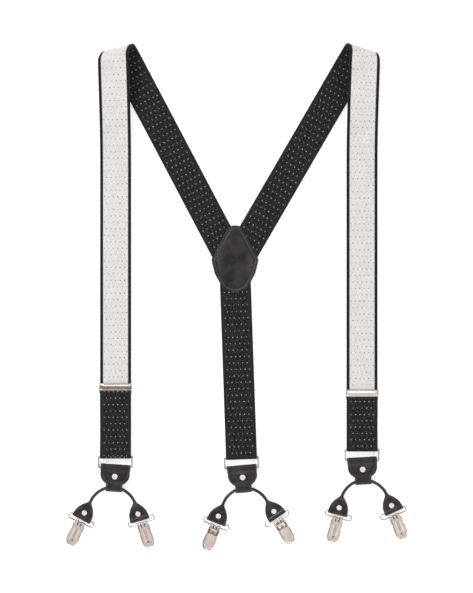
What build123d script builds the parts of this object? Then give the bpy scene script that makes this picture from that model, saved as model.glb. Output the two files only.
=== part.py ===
from build123d import *
import os
from math import cos, hypot, pi, radians, sin

# A pair of Y-back suspenders laid flat. X runs to the right, Y up to the shoulders, Z up from
# the table. The origin is under the middle of the back patch. All sizes are in millimetres.

# webbing
WEB_WIDTH = 35.0
WEB_THICK = 1.5
WEB_HALF = WEB_WIDTH / 2
TABLE_GAP = 0.1
FLAT_Z = TABLE_GAP + WEB_THICK / 2
LAYER_STEP = WEB_THICK + 0.1

# back patch, where the two arms meet the back strap
PATCH_BACKING = 1.2
PATCH_FRONT = 1.4
PATCH_CLEAR = 0.1
PATCH_STRAP_Z = PATCH_BACKING + PATCH_CLEAR + WEB_THICK / 2
PATCH_FRONT_Z = PATCH_BACKING + 2 * PATCH_CLEAR + WEB_THICK
PATCH_TOP_Z = PATCH_FRONT_Z + PATCH_FRONT
PATCH_TOP_Y = 39.0
PATCH_BOTTOM_Y = -37.7
PATCH_HALF_WIDTH = 26.6
STITCH_INSET = 3.4
STITCH_LENGTH = 2.1
STITCH_PITCH = 3.0
STITCH_RADIUS = 0.25
JUNCTION_Y = -13.2
ARM_GAP = 0.1
ARM_START_Y = 44.0
BACK_START_Y = -14.0
BACK_LEAN = 2.0
BACK_X = -0.5
DRAPE = 40.0

# shoulder fold
FOLD_RADIUS = 10.0
FOLD_STEPS = 14
FRONT_DROP = 130.0
FRONT_SETTLE = 110.0

# strap rings: rounded wire rectangles that join webbing to leather
RING_WIRE = 1.1
RING_HALF = 18.9
RING_PITCH = 12.6
RING_CORNER = 1.5
RING_BORE = RING_WIRE + 0.1
LOOP_RADIUS = RING_BORE + WEB_THICK / 2

# adjusters
ADJ_STRAP_Z = 1.8
ADJ_WINDOW = (24.0, 3.6)
ADJ_HALF = 18.4
ADJ_CHEEK = 0.7
ADJ_PLATE = 0.8
ADJ_PLATE_Z = 0.15
ADJ_TOP_Y = 4.6
ADJ_BAR_Y = -6.2
ADJ_BAR_RADIUS = 0.6
ADJ_BAR_BORE = ADJ_BAR_RADIUS + 0.05
ADJ_TAIL_Z = ADJ_STRAP_Z + LAYER_STEP
ADJ_BAR_Z = ADJ_TAIL_Z + WEB_THICK / 2 + ADJ_BAR_BORE
ADJ_TAIL = 16.0
LEVER_PIVOT_Y = 2.8
LEVER_PIVOT_Z = 4.3
LEVER_PIN = 0.6
LEVER_HALF = 17.5
LEVER_THICK = 0.8
LEVER_FREE_Y = -3.6
TOOTH_PITCH = 2.0
TOOTH_HEIGHT = 0.9

# runner tabs: leather that hangs on a strap ring and holds the rolled cord
LEATHER = 1.2
TAB_BORE = 1.25
TAB_SLACK = 1.3
TAB_DROP = 22.5
TAB_LAYER = 1.3
TAB_TOP = TAB_BORE + TAB_SLACK + LEATHER
TAB_HALF = 17.0
NECK_HALF = 9.2
CORD_RADIUS = 1.8
CORD_BORE = CORD_RADIUS + 0.15
CORD_SAG = 1.9
RIVET_DROP = 10.2
RIVET_CAP = 3.15
RIVET_SHANK = 1.2

# runners: one piece of leather, rolled in the middle and flat at both ends
ARC_RADIUS = 27.0
ARC_HALF = 67.0
END_LEATHER = 1.1
END_REACH = 19.8
END_BORE = 0.9
END_SLACK = 0.7
END_LAYER = 0.65
END_HALF = 11.2
END_SHOULDER = 7.3
END_RIVET_Y = 5.7
END_RIVET_CAP = 2.9
END_LEAF = 14.0

# wire rings that carry the clips
WIRE = 0.75
WIRE_PITCH = 6.0
WIRE_HALF = 12.2

# clips
CLIP_PLATE = 0.8
CLIP_BORE = WIRE + 0.1
CLIP_ROLL = CLIP_BORE + CLIP_PLATE
CLIP_HALF = 6.9
CLIP_TIP = -27.8
EAR_HALF = 6.5
EAR_THICK = 0.75
EAR_TOP_Z = 4.9
PIVOT_Y = -6.5
PIVOT_Z = 3.2
PIVOT_PIN = 0.9
TONGUE_Y = -4.6
TONGUE_Z = 0.6
TONGUE_PIN = 0.5
TONGUE_HALF = 4.3
PIN_CLEAR = 0.08
CLIP_LEVER_Z = 4.4
CLIP_LEVER_THICK = 0.8
CLIP_LEVER_HALF = 6.0
PAD_HALF = 4.5
PAD_Y = (-25.0, -20.3)
PAD_GROOVE = 1.4
PEG_Y = -21.6
PEG_RADIUS = 0.88

# the two front straps; side is -1 on the left and +1 on the right
FRONTS = {
    "left": dict(
        side=-1, heading=27.8, meet_y=-8.3, fold_y=229.8, fold_axis=15.3,
        drift=-4.4, run_x=-134.7, adjuster_y=-143.4, ring_y=-221.3,
    ),
    "right": dict(
        side=1, heading=30.1, meet_y=-6.0, fold_y=229.7, fold_axis=-17.9,
        drift=2.5, run_x=143.3, adjuster_y=-150.4, ring_y=-213.3,
    ),
}

# the three leather clusters; leans and yaws are degrees, positive when the lower end goes right
CLUSTERS = {
    "left": dict(
        bar=(-134.7, -221.3), height=5.0, flipped=True, ring_yaw=0.0, tab_yaw=-4.0,
        runner_yaw=0.0, end_leans=(-28.5, 16.5), ring_leans=(-25.0, 18.5), shifts=(0.6, 1.3),
    ),
    "right": dict(
        bar=(143.3, -213.3), height=5.0, flipped=True, ring_yaw=0.0, tab_yaw=3.2,
        runner_yaw=2.0, end_leans=(-14.5, 24.5), ring_leans=(-15.0, 22.0), shifts=(1.6, -1.5),
    ),
    "back": dict(
        bar=(7.26, -222.36), height=3.5, flipped=False, ring_yaw=2.0, tab_yaw=5.0,
        runner_yaw=4.5, end_leans=(-21.5, 34.0), ring_leans=(-22.5, 31.0), shifts=(1.3, -1.3),
    ),
}
BACK_PITCH = 3.2


def smooth(t):
    """Ease from 0 to 1 with level ends."""
    t = min(max(t, 0.0), 1.0)
    return 0.5 - 0.5 * cos(pi * t)


def mix(a, b, t):
    return a + (b - a) * t


def arc_points(cy, cz, radius, start, end, steps=10):
    """Points on an arc in a side view, angles in degrees from +Y toward +Z."""
    angles = [radians(mix(start, end, k / steps)) for k in range(steps + 1)]
    return [(cy + radius * cos(a), cz + radius * sin(a)) for a in angles]


def ease_points(start, end, steps=8):
    """Points of a soft S from one level to another in a side view."""
    marks = [k / steps for k in range(1, steps + 1)]
    return [(mix(start[0], end[0], t), mix(start[1], end[1], smooth(t))) for t in marks]


def strip_outline(path, thick):
    """The closed outline of a strip of even thickness whose middle line is the path."""
    runs = []
    for here, after in zip(path, path[1:]):
        step = (after[0] - here[0], after[1] - here[1])
        size = hypot(*step)
        runs.append((step[0] / size, step[1] / size))
    upper = []
    lower = []
    for (y, z), before, after in zip(path, runs[:1] + runs, runs + runs[-1:]):
        bend = (before[0] + after[0], before[1] + after[1])
        reach = thick / (bend[0] ** 2 + bend[1] ** 2)
        upper.append((y - bend[1] * reach, z + bend[0] * reach))
        lower.append((y + bend[1] * reach, z - bend[0] * reach))
    return upper + lower[::-1]


def side_extrude(outline, half_width):
    """A solid with a side-view outline, as wide in X as twice half_width."""
    points = [Vector(-half_width, y, z) for y, z in outline]
    face = Face(Wire.make_polygon(points, close=True))
    return extrude(face, amount=2 * half_width, dir=(1, 0, 0))


def plan_extrude(outline, low, high):
    """A solid with a plan-view outline between two heights."""
    points = [Vector(x, y, low) for x, y in outline]
    face = Face(Wire.make_polygon(points, close=True))
    return extrude(face, amount=high - low, dir=(0, 0, 1))


def mirrored_outline(half_widths):
    """A closed plan outline from (y, half width) pairs, symmetric about X = 0."""
    right = [(w, y) for y, w in half_widths]
    left = [(-w, y) for y, w in half_widths]
    return right + left[::-1]


def along_x(radius, length, y=0.0, z=0.0, x=0.0):
    """A cylinder lying along X."""
    return Pos(x, y, z) * Rot(0, 90, 0) * Cylinder(radius, length)


def block(x_size, y_range, z_range, x=0.0):
    """A box from its width, and its ranges in Y and Z."""
    size = (x_size, y_range[1] - y_range[0], z_range[1] - z_range[0])
    return Pos(x, sum(y_range) / 2, sum(z_range) / 2) * Box(*size)


def web_section(centre, across, normal, half):
    """One rectangular cross-section of the webbing."""
    side = across * half
    rise = normal * (WEB_THICK / 2)
    corners = [centre - side - rise, centre + side - rise, centre + side + rise, centre - side + rise]
    return Wire.make_polygon(corners, close=True)


def fold_frame(front):
    """The fold's axis, the direction beyond it, and the arm's heading."""
    tilt = radians(front["fold_axis"])
    heading = radians(front["heading"])
    axis = Vector(cos(tilt), sin(tilt), 0)
    beyond = Vector(-sin(tilt), cos(tilt), 0)
    run = Vector(front["side"] * sin(heading), cos(heading), 0)
    return axis, beyond, run


def arm_point(front, y):
    """A point on the arm's middle line at a height y."""
    heading = radians(front["heading"])
    reach = (y - front["meet_y"]) / cos(heading)
    return Vector(front["side"] * sin(heading) * reach, y, 0)


def arm_sections(front):
    """Webbing sections from the patch to the start of the shoulder fold."""
    axis, beyond, run = fold_frame(front)
    square = Vector(run.Y, -run.X, 0)
    sections = []
    drape_marks = [ARM_START_Y + 8 * k for k in range(6)]
    marks = drape_marks + [110, 140, 165, 180, 190, 200, 210, 220]
    for y in marks:
        centre = arm_point(front, y)
        drape = smooth((y - ARM_START_Y) / DRAPE)
        centre.Z = mix(PATCH_STRAP_Z, FLAT_Z, drape)
        turn = smooth((y - 165) / 50)
        across = (square * (1 - turn) + axis * turn).normalized()
        half = WEB_HALF / abs(across.dot(square))
        sections.append(web_section(centre, across, Vector(0, 0, 1), half))
    return sections


def fold_sections(front):
    """Webbing sections around the shoulder fold."""
    axis, beyond, run = fold_frame(front)
    start = arm_point(front, front["fold_y"])
    slip = run.dot(axis) / run.dot(beyond)
    half = WEB_HALF / run.dot(beyond)
    sections = []
    for k in range(FOLD_STEPS + 1):
        angle = pi * k / FOLD_STEPS
        drift = front["drift"] * smooth((angle - pi / 2) / (pi / 2))
        centre = start + beyond * (FOLD_RADIUS * sin(angle))
        centre = centre + axis * (slip * FOLD_RADIUS * angle + drift)
        centre.Z = FLAT_Z + FOLD_RADIUS * (1 - cos(angle))
        normal = Vector(0, 0, 1) * cos(angle) - beyond * sin(angle)
        sections.append(web_section(centre, axis, normal, half))
    return sections


def fold_exit(front):
    """Where the middle line of the webbing leaves the fold."""
    axis, beyond, run = fold_frame(front)
    slip = run.dot(axis) / run.dot(beyond)
    shift = slip * FOLD_RADIUS * pi + front["drift"]
    return arm_point(front, front["fold_y"]) + axis * shift


def run_sections(front):
    """Webbing sections down the front, from the fold to the adjuster."""
    axis, beyond, run = fold_frame(front)
    exit_point = fold_exit(front)
    top_z = FLAT_Z + 2 * FOLD_RADIUS
    steps = [8, 16, 24, 32, 40, 50, 60, 70, 80, 90, 100, 110, 120, 130, 200]
    marks = [exit_point.Y - d for d in steps]
    marks += [front["adjuster_y"]]
    settle = exit_point.X - front["run_x"]
    sections = []
    for y in marks:
        drop = exit_point.Y - y
        away = max(1 - drop / FRONT_SETTLE, 0)
        slope = -2 * settle * away / FRONT_SETTLE
        x = front["run_x"] + settle * away**2
        z = mix(top_z, ADJ_STRAP_Z, smooth(drop / FRONT_DROP))
        square = Vector(1, slope, 0).normalized()
        turn = smooth(drop / 50)
        across = (axis * (1 - turn) + square * turn).normalized()
        half = WEB_HALF / abs(across.dot(square))
        sections.append(web_section(Vector(x, y, z), across, Vector(0, 0, -1), half))
    return sections


def make_front_strap(front):
    """The whole strap from the patch over the shoulder to its adjuster."""
    sections = arm_sections(front) + fold_sections(front) + run_sections(front)
    strap = Solid.make_loft(sections, ruled=True)
    side = front["side"]
    heading = side * front["heading"]
    low = arm_point(front, -30)
    high = arm_point(front, ARM_START_Y)
    length = (high - low).length
    middle = (low + high) * 0.5
    butt = Pos(middle.X, middle.Y, PATCH_STRAP_Z) * Rot(0, 0, -heading)
    butt = butt * Box(WEB_WIDTH, length, WEB_THICK)
    reach = (JUNCTION_Y, high.Y + WEB_WIDTH)
    own_side = block(length, reach, (0, PATCH_TOP_Z), side * (length / 2 + ARM_GAP))
    return strap + (butt & own_side)


def lower_path(front, height):
    """Side view of the run below the adjuster: down, round the ring bar and back up."""
    adjuster_y = front["adjuster_y"]
    ring_y = front["ring_y"]
    bar_y = adjuster_y + ADJ_BAR_Y
    top_z = ADJ_BAR_Z + ADJ_BAR_BORE + WEB_THICK / 2
    bar_turn = ADJ_BAR_BORE + WEB_THICK / 2
    path = [(adjuster_y - 0.1, ADJ_STRAP_Z), (ring_y + 20, ADJ_STRAP_Z)]
    path += ease_points(path[-1], (ring_y + 3, height - LOOP_RADIUS))
    path += arc_points(ring_y, height, LOOP_RADIUS, 270, 90, 12)
    path += ease_points((ring_y + 2, height + LOOP_RADIUS), (ring_y + 22, ADJ_TAIL_Z))
    path += [(bar_y - ADJ_TAIL - 14, ADJ_TAIL_Z)]
    path += ease_points(path[-1], (bar_y - ADJ_TAIL, top_z))
    path += arc_points(bar_y, ADJ_BAR_Z, bar_turn, 90, -90, 10)
    path += [(bar_y - ADJ_TAIL + 2, ADJ_TAIL_Z)]
    return path


def make_lower_strap(front, height):
    outline = strip_outline(lower_path(front, height), WEB_THICK)
    return Pos(front["run_x"], 0, 0) * side_extrude(outline, WEB_HALF)


def back_path(ring_y, height):
    """Side view of the back strap: from the patch to its ring, with the tail sewn under."""
    path = [(BACK_START_Y, PATCH_STRAP_Z), (-42, PATCH_STRAP_Z)]
    path += ease_points(path[-1], (-82, FLAT_Z))
    path += [(ring_y + 72, FLAT_Z)]
    path += ease_points(path[-1], (ring_y + 44, FLAT_Z + LAYER_STEP))
    path += [(ring_y + 24, FLAT_Z + LAYER_STEP)]
    path += ease_points(path[-1], (ring_y + 3, height + LOOP_RADIUS))
    path += arc_points(ring_y, height, LOOP_RADIUS, 90, 270, 12)
    path += ease_points((ring_y - 0.0, height - LOOP_RADIUS), (ring_y + 16, FLAT_Z))
    path += [(ring_y + 38, FLAT_Z)]
    return path


def make_back_strap():
    height = CLUSTERS["back"]["height"]
    ring_y = CLUSTERS["back"]["bar"][1] / cos(radians(BACK_LEAN))
    outline = strip_outline(back_path(ring_y, height), WEB_THICK)
    return Pos(BACK_X, 0, 0) * Rot(0, 0, BACK_LEAN) * side_extrude(outline, WEB_HALF)


def patch_line(inset=0.0):
    """The patch's outline: straight upper sides, bowed lower sides, rounded corners."""
    half = PATCH_HALF_WIDTH - inset
    top = PATCH_TOP_Y - inset
    bottom = PATCH_BOTTOM_Y + inset
    shoulder = 6.0 - inset * 0.4
    heel = 13.0 - inset * 0.5
    heel_y = -32.5 + inset * 0.8
    bow = (22.6 - inset * 0.9, -16.0 + inset * 0.25)
    with BuildSketch() as sketch:
        with BuildLine():
            Line((-shoulder, top), (shoulder, top))
            Line((shoulder, top), (half, 0.4))
            ThreePointArc((half, 0.4), bow, (heel, heel_y))
            ThreePointArc((heel, heel_y), (0, bottom), (-heel, heel_y))
            ThreePointArc((-heel, heel_y), (-bow[0], bow[1]), (-half, 0.4))
            Line((-half, 0.4), (-shoulder, top))
        make_face()
        fillet(sketch.vertices(), 3.0)
    return sketch.sketch


def make_patch_layer(low, thick, rounding):
    layer = extrude(Pos(0, 0, low) * patch_line(), amount=thick)
    top_edges = layer.edges().group_by(Axis.Z)[-1]
    return fillet(top_edges, rounding)


def make_patch_stitching():
    """Separate stitches in a line just inside the patch's edge."""
    wire = patch_line(STITCH_INSET).faces()[0].outer_wire()
    count = int(wire.length / STITCH_PITCH)
    height = PATCH_TOP_Z + STITCH_RADIUS + 0.02
    stitches = []
    for k in range(count):
        spot = wire.position_at((k + 0.5) / count)
        run = wire.tangent_at((k + 0.5) / count)
        plane = Plane(origin=(spot.X, spot.Y, height), z_dir=(run.X, run.Y, 0))
        stitches.append(plane * Cylinder(STITCH_RADIUS, STITCH_LENGTH))
    return Compound(children=stitches)


def wire_loop(half_x, pitch, corner, wire):
    """A closed wire ring with its upper bar on the X axis and its lower bar pitch below."""
    outline = Pos(0, -pitch / 2, 0) * RectangleRounded(2 * half_x, pitch, corner)
    path = outline.faces()[0].outer_wire()
    start = path.position_at(0)
    run = path.tangent_at(0)
    profile = Plane(origin=start, z_dir=run) * Circle(wire)
    return sweep(profile, path=path)


def make_adjuster_frame():
    """The adjuster's pressed frame: face plate, two cheeks and the rear bar."""
    plate_top = ADJ_PLATE_Z + ADJ_PLATE
    frame = block(2 * ADJ_HALF, (-4.4, ADJ_TOP_Y), (ADJ_PLATE_Z, plate_top))
    window_width, window_height = ADJ_WINDOW
    window = block(window_width, (-window_height / 2, window_height / 2), (0, plate_top + 1))
    frame = frame - window
    cheek_x = ADJ_HALF - ADJ_CHEEK / 2
    for side in (-1, 1):
        x = side * cheek_x
        cheek = block(ADJ_CHEEK, (ADJ_BAR_Y - 0.9, ADJ_TOP_Y), (ADJ_PLATE_Z, ADJ_BAR_Z + 1.1), x)
        cheek = fillet(cheek.edges().filter_by(Axis.X), 0.5)
        hole = along_x(LEVER_PIN + PIN_CLEAR, 4, LEVER_PIVOT_Y, LEVER_PIVOT_Z, x)
        frame = frame + (cheek - hole)
    bar = along_x(ADJ_BAR_RADIUS, 2 * ADJ_HALF - ADJ_CHEEK, ADJ_BAR_Y, ADJ_BAR_Z)
    return frame + bar


def make_adjuster_lever():
    """The flap that clamps the webbing: a curved plate with a toothed rib and end pins."""
    low = LEVER_PIVOT_Z - LEVER_THICK / 2
    high = LEVER_PIVOT_Z + LEVER_THICK / 2
    lever = block(2 * LEVER_HALF, (LEVER_FREE_Y, LEVER_PIVOT_Y + 1.2), (low, high))
    lever = fillet(lever.edges().filter_by(Axis.X), 0.35)
    rib_y = (0.9, 1.7)
    tip = ADJ_STRAP_Z + WEB_THICK / 2 + 0.1
    lever = lever + block(2 * LEVER_HALF - 2, rib_y, (tip + TOOTH_HEIGHT * 0.5, low + 0.1))
    count = int((2 * LEVER_HALF - 2) / TOOTH_PITCH)
    for k in range(count):
        x = (k - (count - 1) / 2) * TOOTH_PITCH
        lever = lever + block(TOOTH_PITCH * 0.5, rib_y, (tip, low + 0.1), x)
    pins = along_x(LEVER_PIN, 2 * ADJ_HALF, LEVER_PIVOT_Y, LEVER_PIVOT_Z)
    return lever + pins


def short_leaf_path():
    """Side view of the tab's short leaf, which rises over the loop round the cord."""
    rise = [(-20.6, 2.85), (-18.6, 1.9), (-16.4, 0.65), (-14.4, 0.0), (-6.0, 0.0)]
    return [(y, TAB_LAYER + z) for y, z in rise]


def tab_path():
    """Side view of the rest of the tab: round the ring bar, long leaf, round the cord."""
    bore = TAB_BORE + LEATHER / 2
    cord_turn = CORD_BORE + LEATHER / 2
    cord_top = -TAB_DROP
    path = [(-8.0, TAB_LAYER), (-7.0, TAB_LAYER)]
    path += ease_points((-7.0, TAB_LAYER), (-TAB_SLACK - 0.4, bore), 5)
    path += arc_points(TAB_SLACK, 0, bore, 90, -90, 10)
    path += [(-TAB_SLACK - 0.4, -bore)]
    path += ease_points((-TAB_SLACK - 0.4, -bore), (-7.0, -TAB_LAYER), 5)
    path += [(-13.5, -TAB_LAYER)]
    path += ease_points((-13.5, -TAB_LAYER), (cord_top + 0.5, -cord_turn), 6)
    path += arc_points(cord_top - CORD_SAG, 0, cord_turn, 270, 90, 12)
    path += ease_points((cord_top + 0.6, cord_turn), (-14.6, 0.0), 6)
    path += [(-6.5, 0.0)]
    return path


def make_runner_tab():
    """The leather tab, cut to its plan shape and pierced for its rivet."""
    outline = strip_outline(tab_path(), LEATHER)
    strip = side_extrude(outline, TAB_HALF)
    top = TAB_TOP
    long_leaf = [
        (top + 1, TAB_HALF), (top - 8, 16.7), (top - 12, 15.6), (top - 15, 14.0), (top - 18, 12.0),
        (top - 20.5, 10.2), (top - 23, NECK_HALF), (-TAB_DROP - 8, NECK_HALF),
    ]
    short_leaf = [
        (-5.0, 16.8), (-9.0, 16.6), (-12.0, 15.9), (-14.5, 14.6), (-16.5, 12.9), (-18.2, 10.9),
        (-19.6, 8.6), (-20.6, 6.2), (-22.0, 3.0),
    ]
    leaf = side_extrude(strip_outline(short_leaf_path(), LEATHER), TAB_HALF)
    leaf = leaf & plan_extrude(mirrored_outline(short_leaf), -6, 6)
    hole = Pos(0, -RIVET_DROP, 0) * Cylinder(RIVET_SHANK + 0.05, 12)
    tab = strip & plan_extrude(mirrored_outline(long_leaf), -6, 6)
    return tab + leaf - hole


def make_rivet(cap, half_height):
    """A rivet with a domed cap on both sides, its shank along Z."""
    rivet = Cylinder(RIVET_SHANK, 2 * half_height)
    for side in (-1, 1):
        dome = Cylinder(cap, 0.8)
        dome = fillet(dome.edges().group_by(Axis.Z)[-1], 0.55)
        turned = dome if side > 0 else Rot(180, 0, 0) * dome
        rivet = rivet + Pos(0, 0, side * (half_height + 0.4)) * turned
    return rivet


def rounded_section(centre, run, half_wide, half_thick, square):
    """A closed many-sided section across a leather run, round when square is 0."""
    across = Vector(run.Y, -run.X, 0)
    power = mix(1.0, 0.35, square)
    points = []
    for k in range(20):
        angle = 2 * pi * (k + 0.5) / 20
        c = cos(angle)
        s = sin(angle)
        x = half_wide * abs(c) ** power * (1 if c > 0 else -1)
        z = half_thick * abs(s) ** power * (1 if s > 0 else -1)
        points.append(centre + across * x + Vector(0, 0, z))
    return Wire.make_polygon(points, close=True)


def end_tab_path():
    """Side view of a flat runner end folded round its wire ring."""
    bore = END_BORE + END_LEATHER / 2
    path = [(14.5, END_LAYER), (2.6, END_LAYER)]
    path += ease_points((2.6, END_LAYER), (END_SLACK - 0.3, bore), 5)
    path += arc_points(-END_SLACK, 0, bore, 90, 270, 10)
    path += ease_points((END_SLACK - 0.3, -bore), (2.6, -END_LAYER), 5)
    path += [(END_LEAF, -END_LAYER)]
    return path


def make_end_tab():
    """One flat end of a runner in its own frame: ring bar at the origin, cord toward +Y."""
    outline = strip_outline(end_tab_path(), END_LEATHER)
    strip = side_extrude(outline, END_HALF)
    half_widths = [
        (-4, END_HALF), (2, 11.0), (6, 10.4), (9, 9.3), (12.4, END_SHOULDER), (15, 5.4),
    ]
    strip = strip & plan_extrude(mirrored_outline(half_widths), -4, 4)
    down = Vector(0, -1, 0)
    marks = [(END_REACH, 0), (18.4, 0.12), (16.8, 0.35), (15.2, 0.65), (13.6, 0.9), (12.4, 1)]
    sections = []
    for y, t in marks:
        wide = mix(CORD_RADIUS, END_SHOULDER, t)
        thick = mix(CORD_RADIUS, END_LEATHER / 2, smooth(t))
        centre = Vector(0, y, mix(0, END_LAYER, smooth(t)))
        sections.append(rounded_section(centre, down, wide, thick, t))
    flare = Solid.make_loft(sections, ruled=True)
    hole = Pos(0, END_RIVET_Y, 0) * Cylinder(RIVET_SHANK + 0.05, 6)
    return (strip + flare) - hole


def end_tab_place(side, lean):
    """Where a flat end sits in its runner's frame, whose origin is the arc's centre."""
    turn = radians(ARC_HALF)
    cord_end = Vector(side * ARC_RADIUS * sin(turn), ARC_RADIUS * cos(turn), 0)
    angle = radians(lean)
    seat = cord_end + Vector(sin(angle), -cos(angle), 0) * END_REACH
    return Pos(seat.X, seat.Y, 0) * Rot(0, 0, lean)


def make_runner(leans):
    """A runner in its own frame: rolled arc and two flat ends."""
    arc = CenterArc((0, 0), ARC_RADIUS, 90 - ARC_HALF, 2 * ARC_HALF)
    profile = Plane(origin=arc @ 0, z_dir=arc % 0) * Circle(CORD_RADIUS)
    runner = sweep(profile, path=arc)
    for side, lean in zip((-1, 1), leans):
        turn = radians(ARC_HALF)
        knuckle = Pos(side * ARC_RADIUS * sin(turn), ARC_RADIUS * cos(turn), 0)
        runner = runner + knuckle * Sphere(CORD_RADIUS)
        runner = runner + end_tab_place(side, lean) * make_end_tab()
    return runner


def clip_outline():
    """Plan outline of a clip's back plate: slightly waisted, with a rounded tip."""
    tip_centre = CLIP_TIP + CLIP_HALF
    points = [(-5.6, -1.2), (-5.9, -9.6), (-CLIP_HALF, -14.0)]
    for k in range(13):
        angle = radians(180 + 15 * k)
        points.append((CLIP_HALF * cos(angle), tip_centre + CLIP_HALF * sin(angle)))
    return points + [(CLIP_HALF, -14.0), (5.9, -9.6), (5.6, -1.2)]


def make_back_plate():
    """The clip's back plate, with fingers rolled round the wire ring and two ears."""
    low = -CLIP_ROLL
    high = -CLIP_BORE
    plate = plan_extrude(clip_outline(), low, high)
    groove = plan_extrude([(-1.5, -8), (1.5, -8), (1.5, -19.4), (-1.5, -19.4)], low - 1, low + 0.25)
    plate = plate - groove
    peg_hole = Pos(0, PEG_Y, low) * Cylinder(PEG_RADIUS + 0.07, 4)
    plate = plate - peg_hole
    lip_path = arc_points(CLIP_TIP + 1.9, low + 1.9, 1.5, 270, 190, 6)
    lip = side_extrude(strip_outline([(CLIP_TIP + 3, low + 0.4)] + lip_path, CLIP_PLATE), 3.6)
    plate = plate - block(8, (CLIP_TIP - 1, CLIP_TIP + 1.9), (low - 1, high + 1)) + lip
    roll_path = [(-2.0, low + CLIP_PLATE / 2)] + arc_points(
        0, 0, CLIP_BORE + CLIP_PLATE / 2, 270, 560, 18
    )
    roll = strip_outline(roll_path, CLIP_PLATE)
    for x in (-3.7, 3.7):
        plate = plate + Pos(x, 0, 0) * side_extrude(roll, 1.8)
    for side in (-1, 1):
        x = side * (EAR_HALF - EAR_THICK / 2)
        ear = block(EAR_THICK, (-9.4, -3.2), (low, EAR_TOP_Z), x)
        ear = fillet(ear.edges().filter_by(Axis.X).group_by(Axis.Z)[-1], 1.4)
        ear = ear - along_x(PIVOT_PIN + PIN_CLEAR, 4, PIVOT_Y, PIVOT_Z, x)
        ear = ear - along_x(TONGUE_PIN + PIN_CLEAR, 4, TONGUE_Y, TONGUE_Z, x)
        plate = plate + ear
    return plate


def make_pad():
    """The moulded grip pad on the back plate, held by a peg through it."""
    floor = -CLIP_BORE + 0.03
    pad = block(2 * PAD_HALF, PAD_Y, (floor, 0.55))
    for k in range(3):
        groove_y = PAD_Y[0] + 0.7 + k * PAD_GROOVE
        pad = pad - block(2 * PAD_HALF + 1, (groove_y, groove_y + 0.6), (0.2, 1))
    peg_length = floor + CLIP_ROLL + 0.3
    peg = Pos(0, PEG_Y, (floor - CLIP_ROLL) / 2 - 0.05) * Cylinder(PEG_RADIUS, peg_length)
    return pad + peg


def make_tongue():
    """The clip's inner jaw, hinged on small pins in the ears."""
    path = [(TONGUE_Y + 0.9, TONGUE_Z), (TONGUE_Y - 0.4, TONGUE_Z)]
    path += ease_points(path[-1], (-9.0, 1.55), 5)
    path += [(-18.4, 1.55)]
    path += ease_points(path[-1], (-23.4, 1.15), 4)
    path += [(-26.0, 1.15)]
    tongue = side_extrude(strip_outline(path, CLIP_PLATE), TONGUE_HALF)
    slot = plan_extrude([(-1.6, -9.5), (1.6, -9.5), (0.7, -6.2), (-0.7, -6.2)], -3, 6)
    pins = along_x(TONGUE_PIN, 2 * EAR_HALF - 0.1, TONGUE_Y, TONGUE_Z)
    return tongue - slot + pins


def make_clip_lever():
    """The clip's lever: a shallow tray with two arms and pivot pins."""
    low = CLIP_LEVER_Z - CLIP_LEVER_THICK / 2
    high = CLIP_LEVER_Z + CLIP_LEVER_THICK / 2
    half = CLIP_LEVER_HALF
    outline = [
        (0.5 - half, -8.6), (0.5 - half, -9.7), (-half, -9.9), (-half, -23.9),
        (-half + 0.8, -26.4), (-half + 2.6, -28.0), (half - 2.6, -28.0), (half - 0.8, -26.4),
        (half, -23.9), (half, -9.9), (half - 0.5, -9.7), (half - 0.5, -8.6),
    ]
    lever = plan_extrude(outline, low, high)
    lever = chamfer(lever.edges().group_by(Axis.Z)[-1], 0.35)
    for side in (-1, 1):
        flange = block(0.5, (-23.4, -11.0), (low - 0.9, low + 0.1), side * (half - 0.35))
        arm = block(0.7, (-10.5, PIVOT_Y + 1.15), (PIVOT_Z - 1.0, high), side * 5.2)
        arm = fillet(arm.edges().filter_by(Axis.X).group_by(Axis.Y)[-1], 0.9)
        pin = along_x(PIVOT_PIN, 1.4, PIVOT_Y, PIVOT_Z, side * 5.85)
        lever = lever + flange + arm + pin
    return lever


def cluster_frames(cluster):
    """World frames of a cluster's ring, tab, runner, wire rings and clips."""
    x, y = cluster["bar"]
    height = cluster["height"]
    turn = Rot(0, 180, 0) if cluster["flipped"] else Rot(0, 0, 0)
    ring = Pos(x, y, height) * Rot(0, 0, cluster["ring_yaw"])
    lower = ring * Pos(0, -RING_PITCH, 0)
    tab = Pos(*lower.position) * Rot(0, 0, cluster["tab_yaw"])
    centre = tab * Pos(0, -TAB_DROP - ARC_RADIUS, 0)
    runner = Pos(*centre.position) * Rot(0, 0, cluster["runner_yaw"])
    wires = []
    clips = []
    pitch = 0 if cluster["flipped"] else BACK_PITCH
    ends = zip((-1, 1), cluster["end_leans"], cluster["ring_leans"], cluster["shifts"])
    for side, end_lean, ring_lean, shift in ends:
        seat = runner * end_tab_place(side, end_lean - cluster["runner_yaw"])
        spot = (seat * Pos(shift, 0, 0)).position
        wire = Pos(*spot) * Rot(0, 0, ring_lean)
        wires.append(wire)
        clips.append(wire * Pos(0, -WIRE_PITCH, 0) * Rot(pitch, 0, 0) * turn)
    return dict(ring=ring, tab=tab * turn, runner=runner, turn=turn, wires=wires, clips=clips)


def runner_leans(cluster):
    """The lean of each flat end in the runner's own frame, outer side up."""
    leans = [lean - cluster["runner_yaw"] for lean in cluster["end_leans"]]
    if cluster["flipped"]:
        return (-leans[1], -leans[0])
    return tuple(leans)


def save(shape, name):
    """Write one node."""
    solids = shape.solids()
    whole = solids[0] if len(solids) == 1 else Compound(children=list(solids))
    export_step(whole, f"parts/{name}.step")


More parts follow.
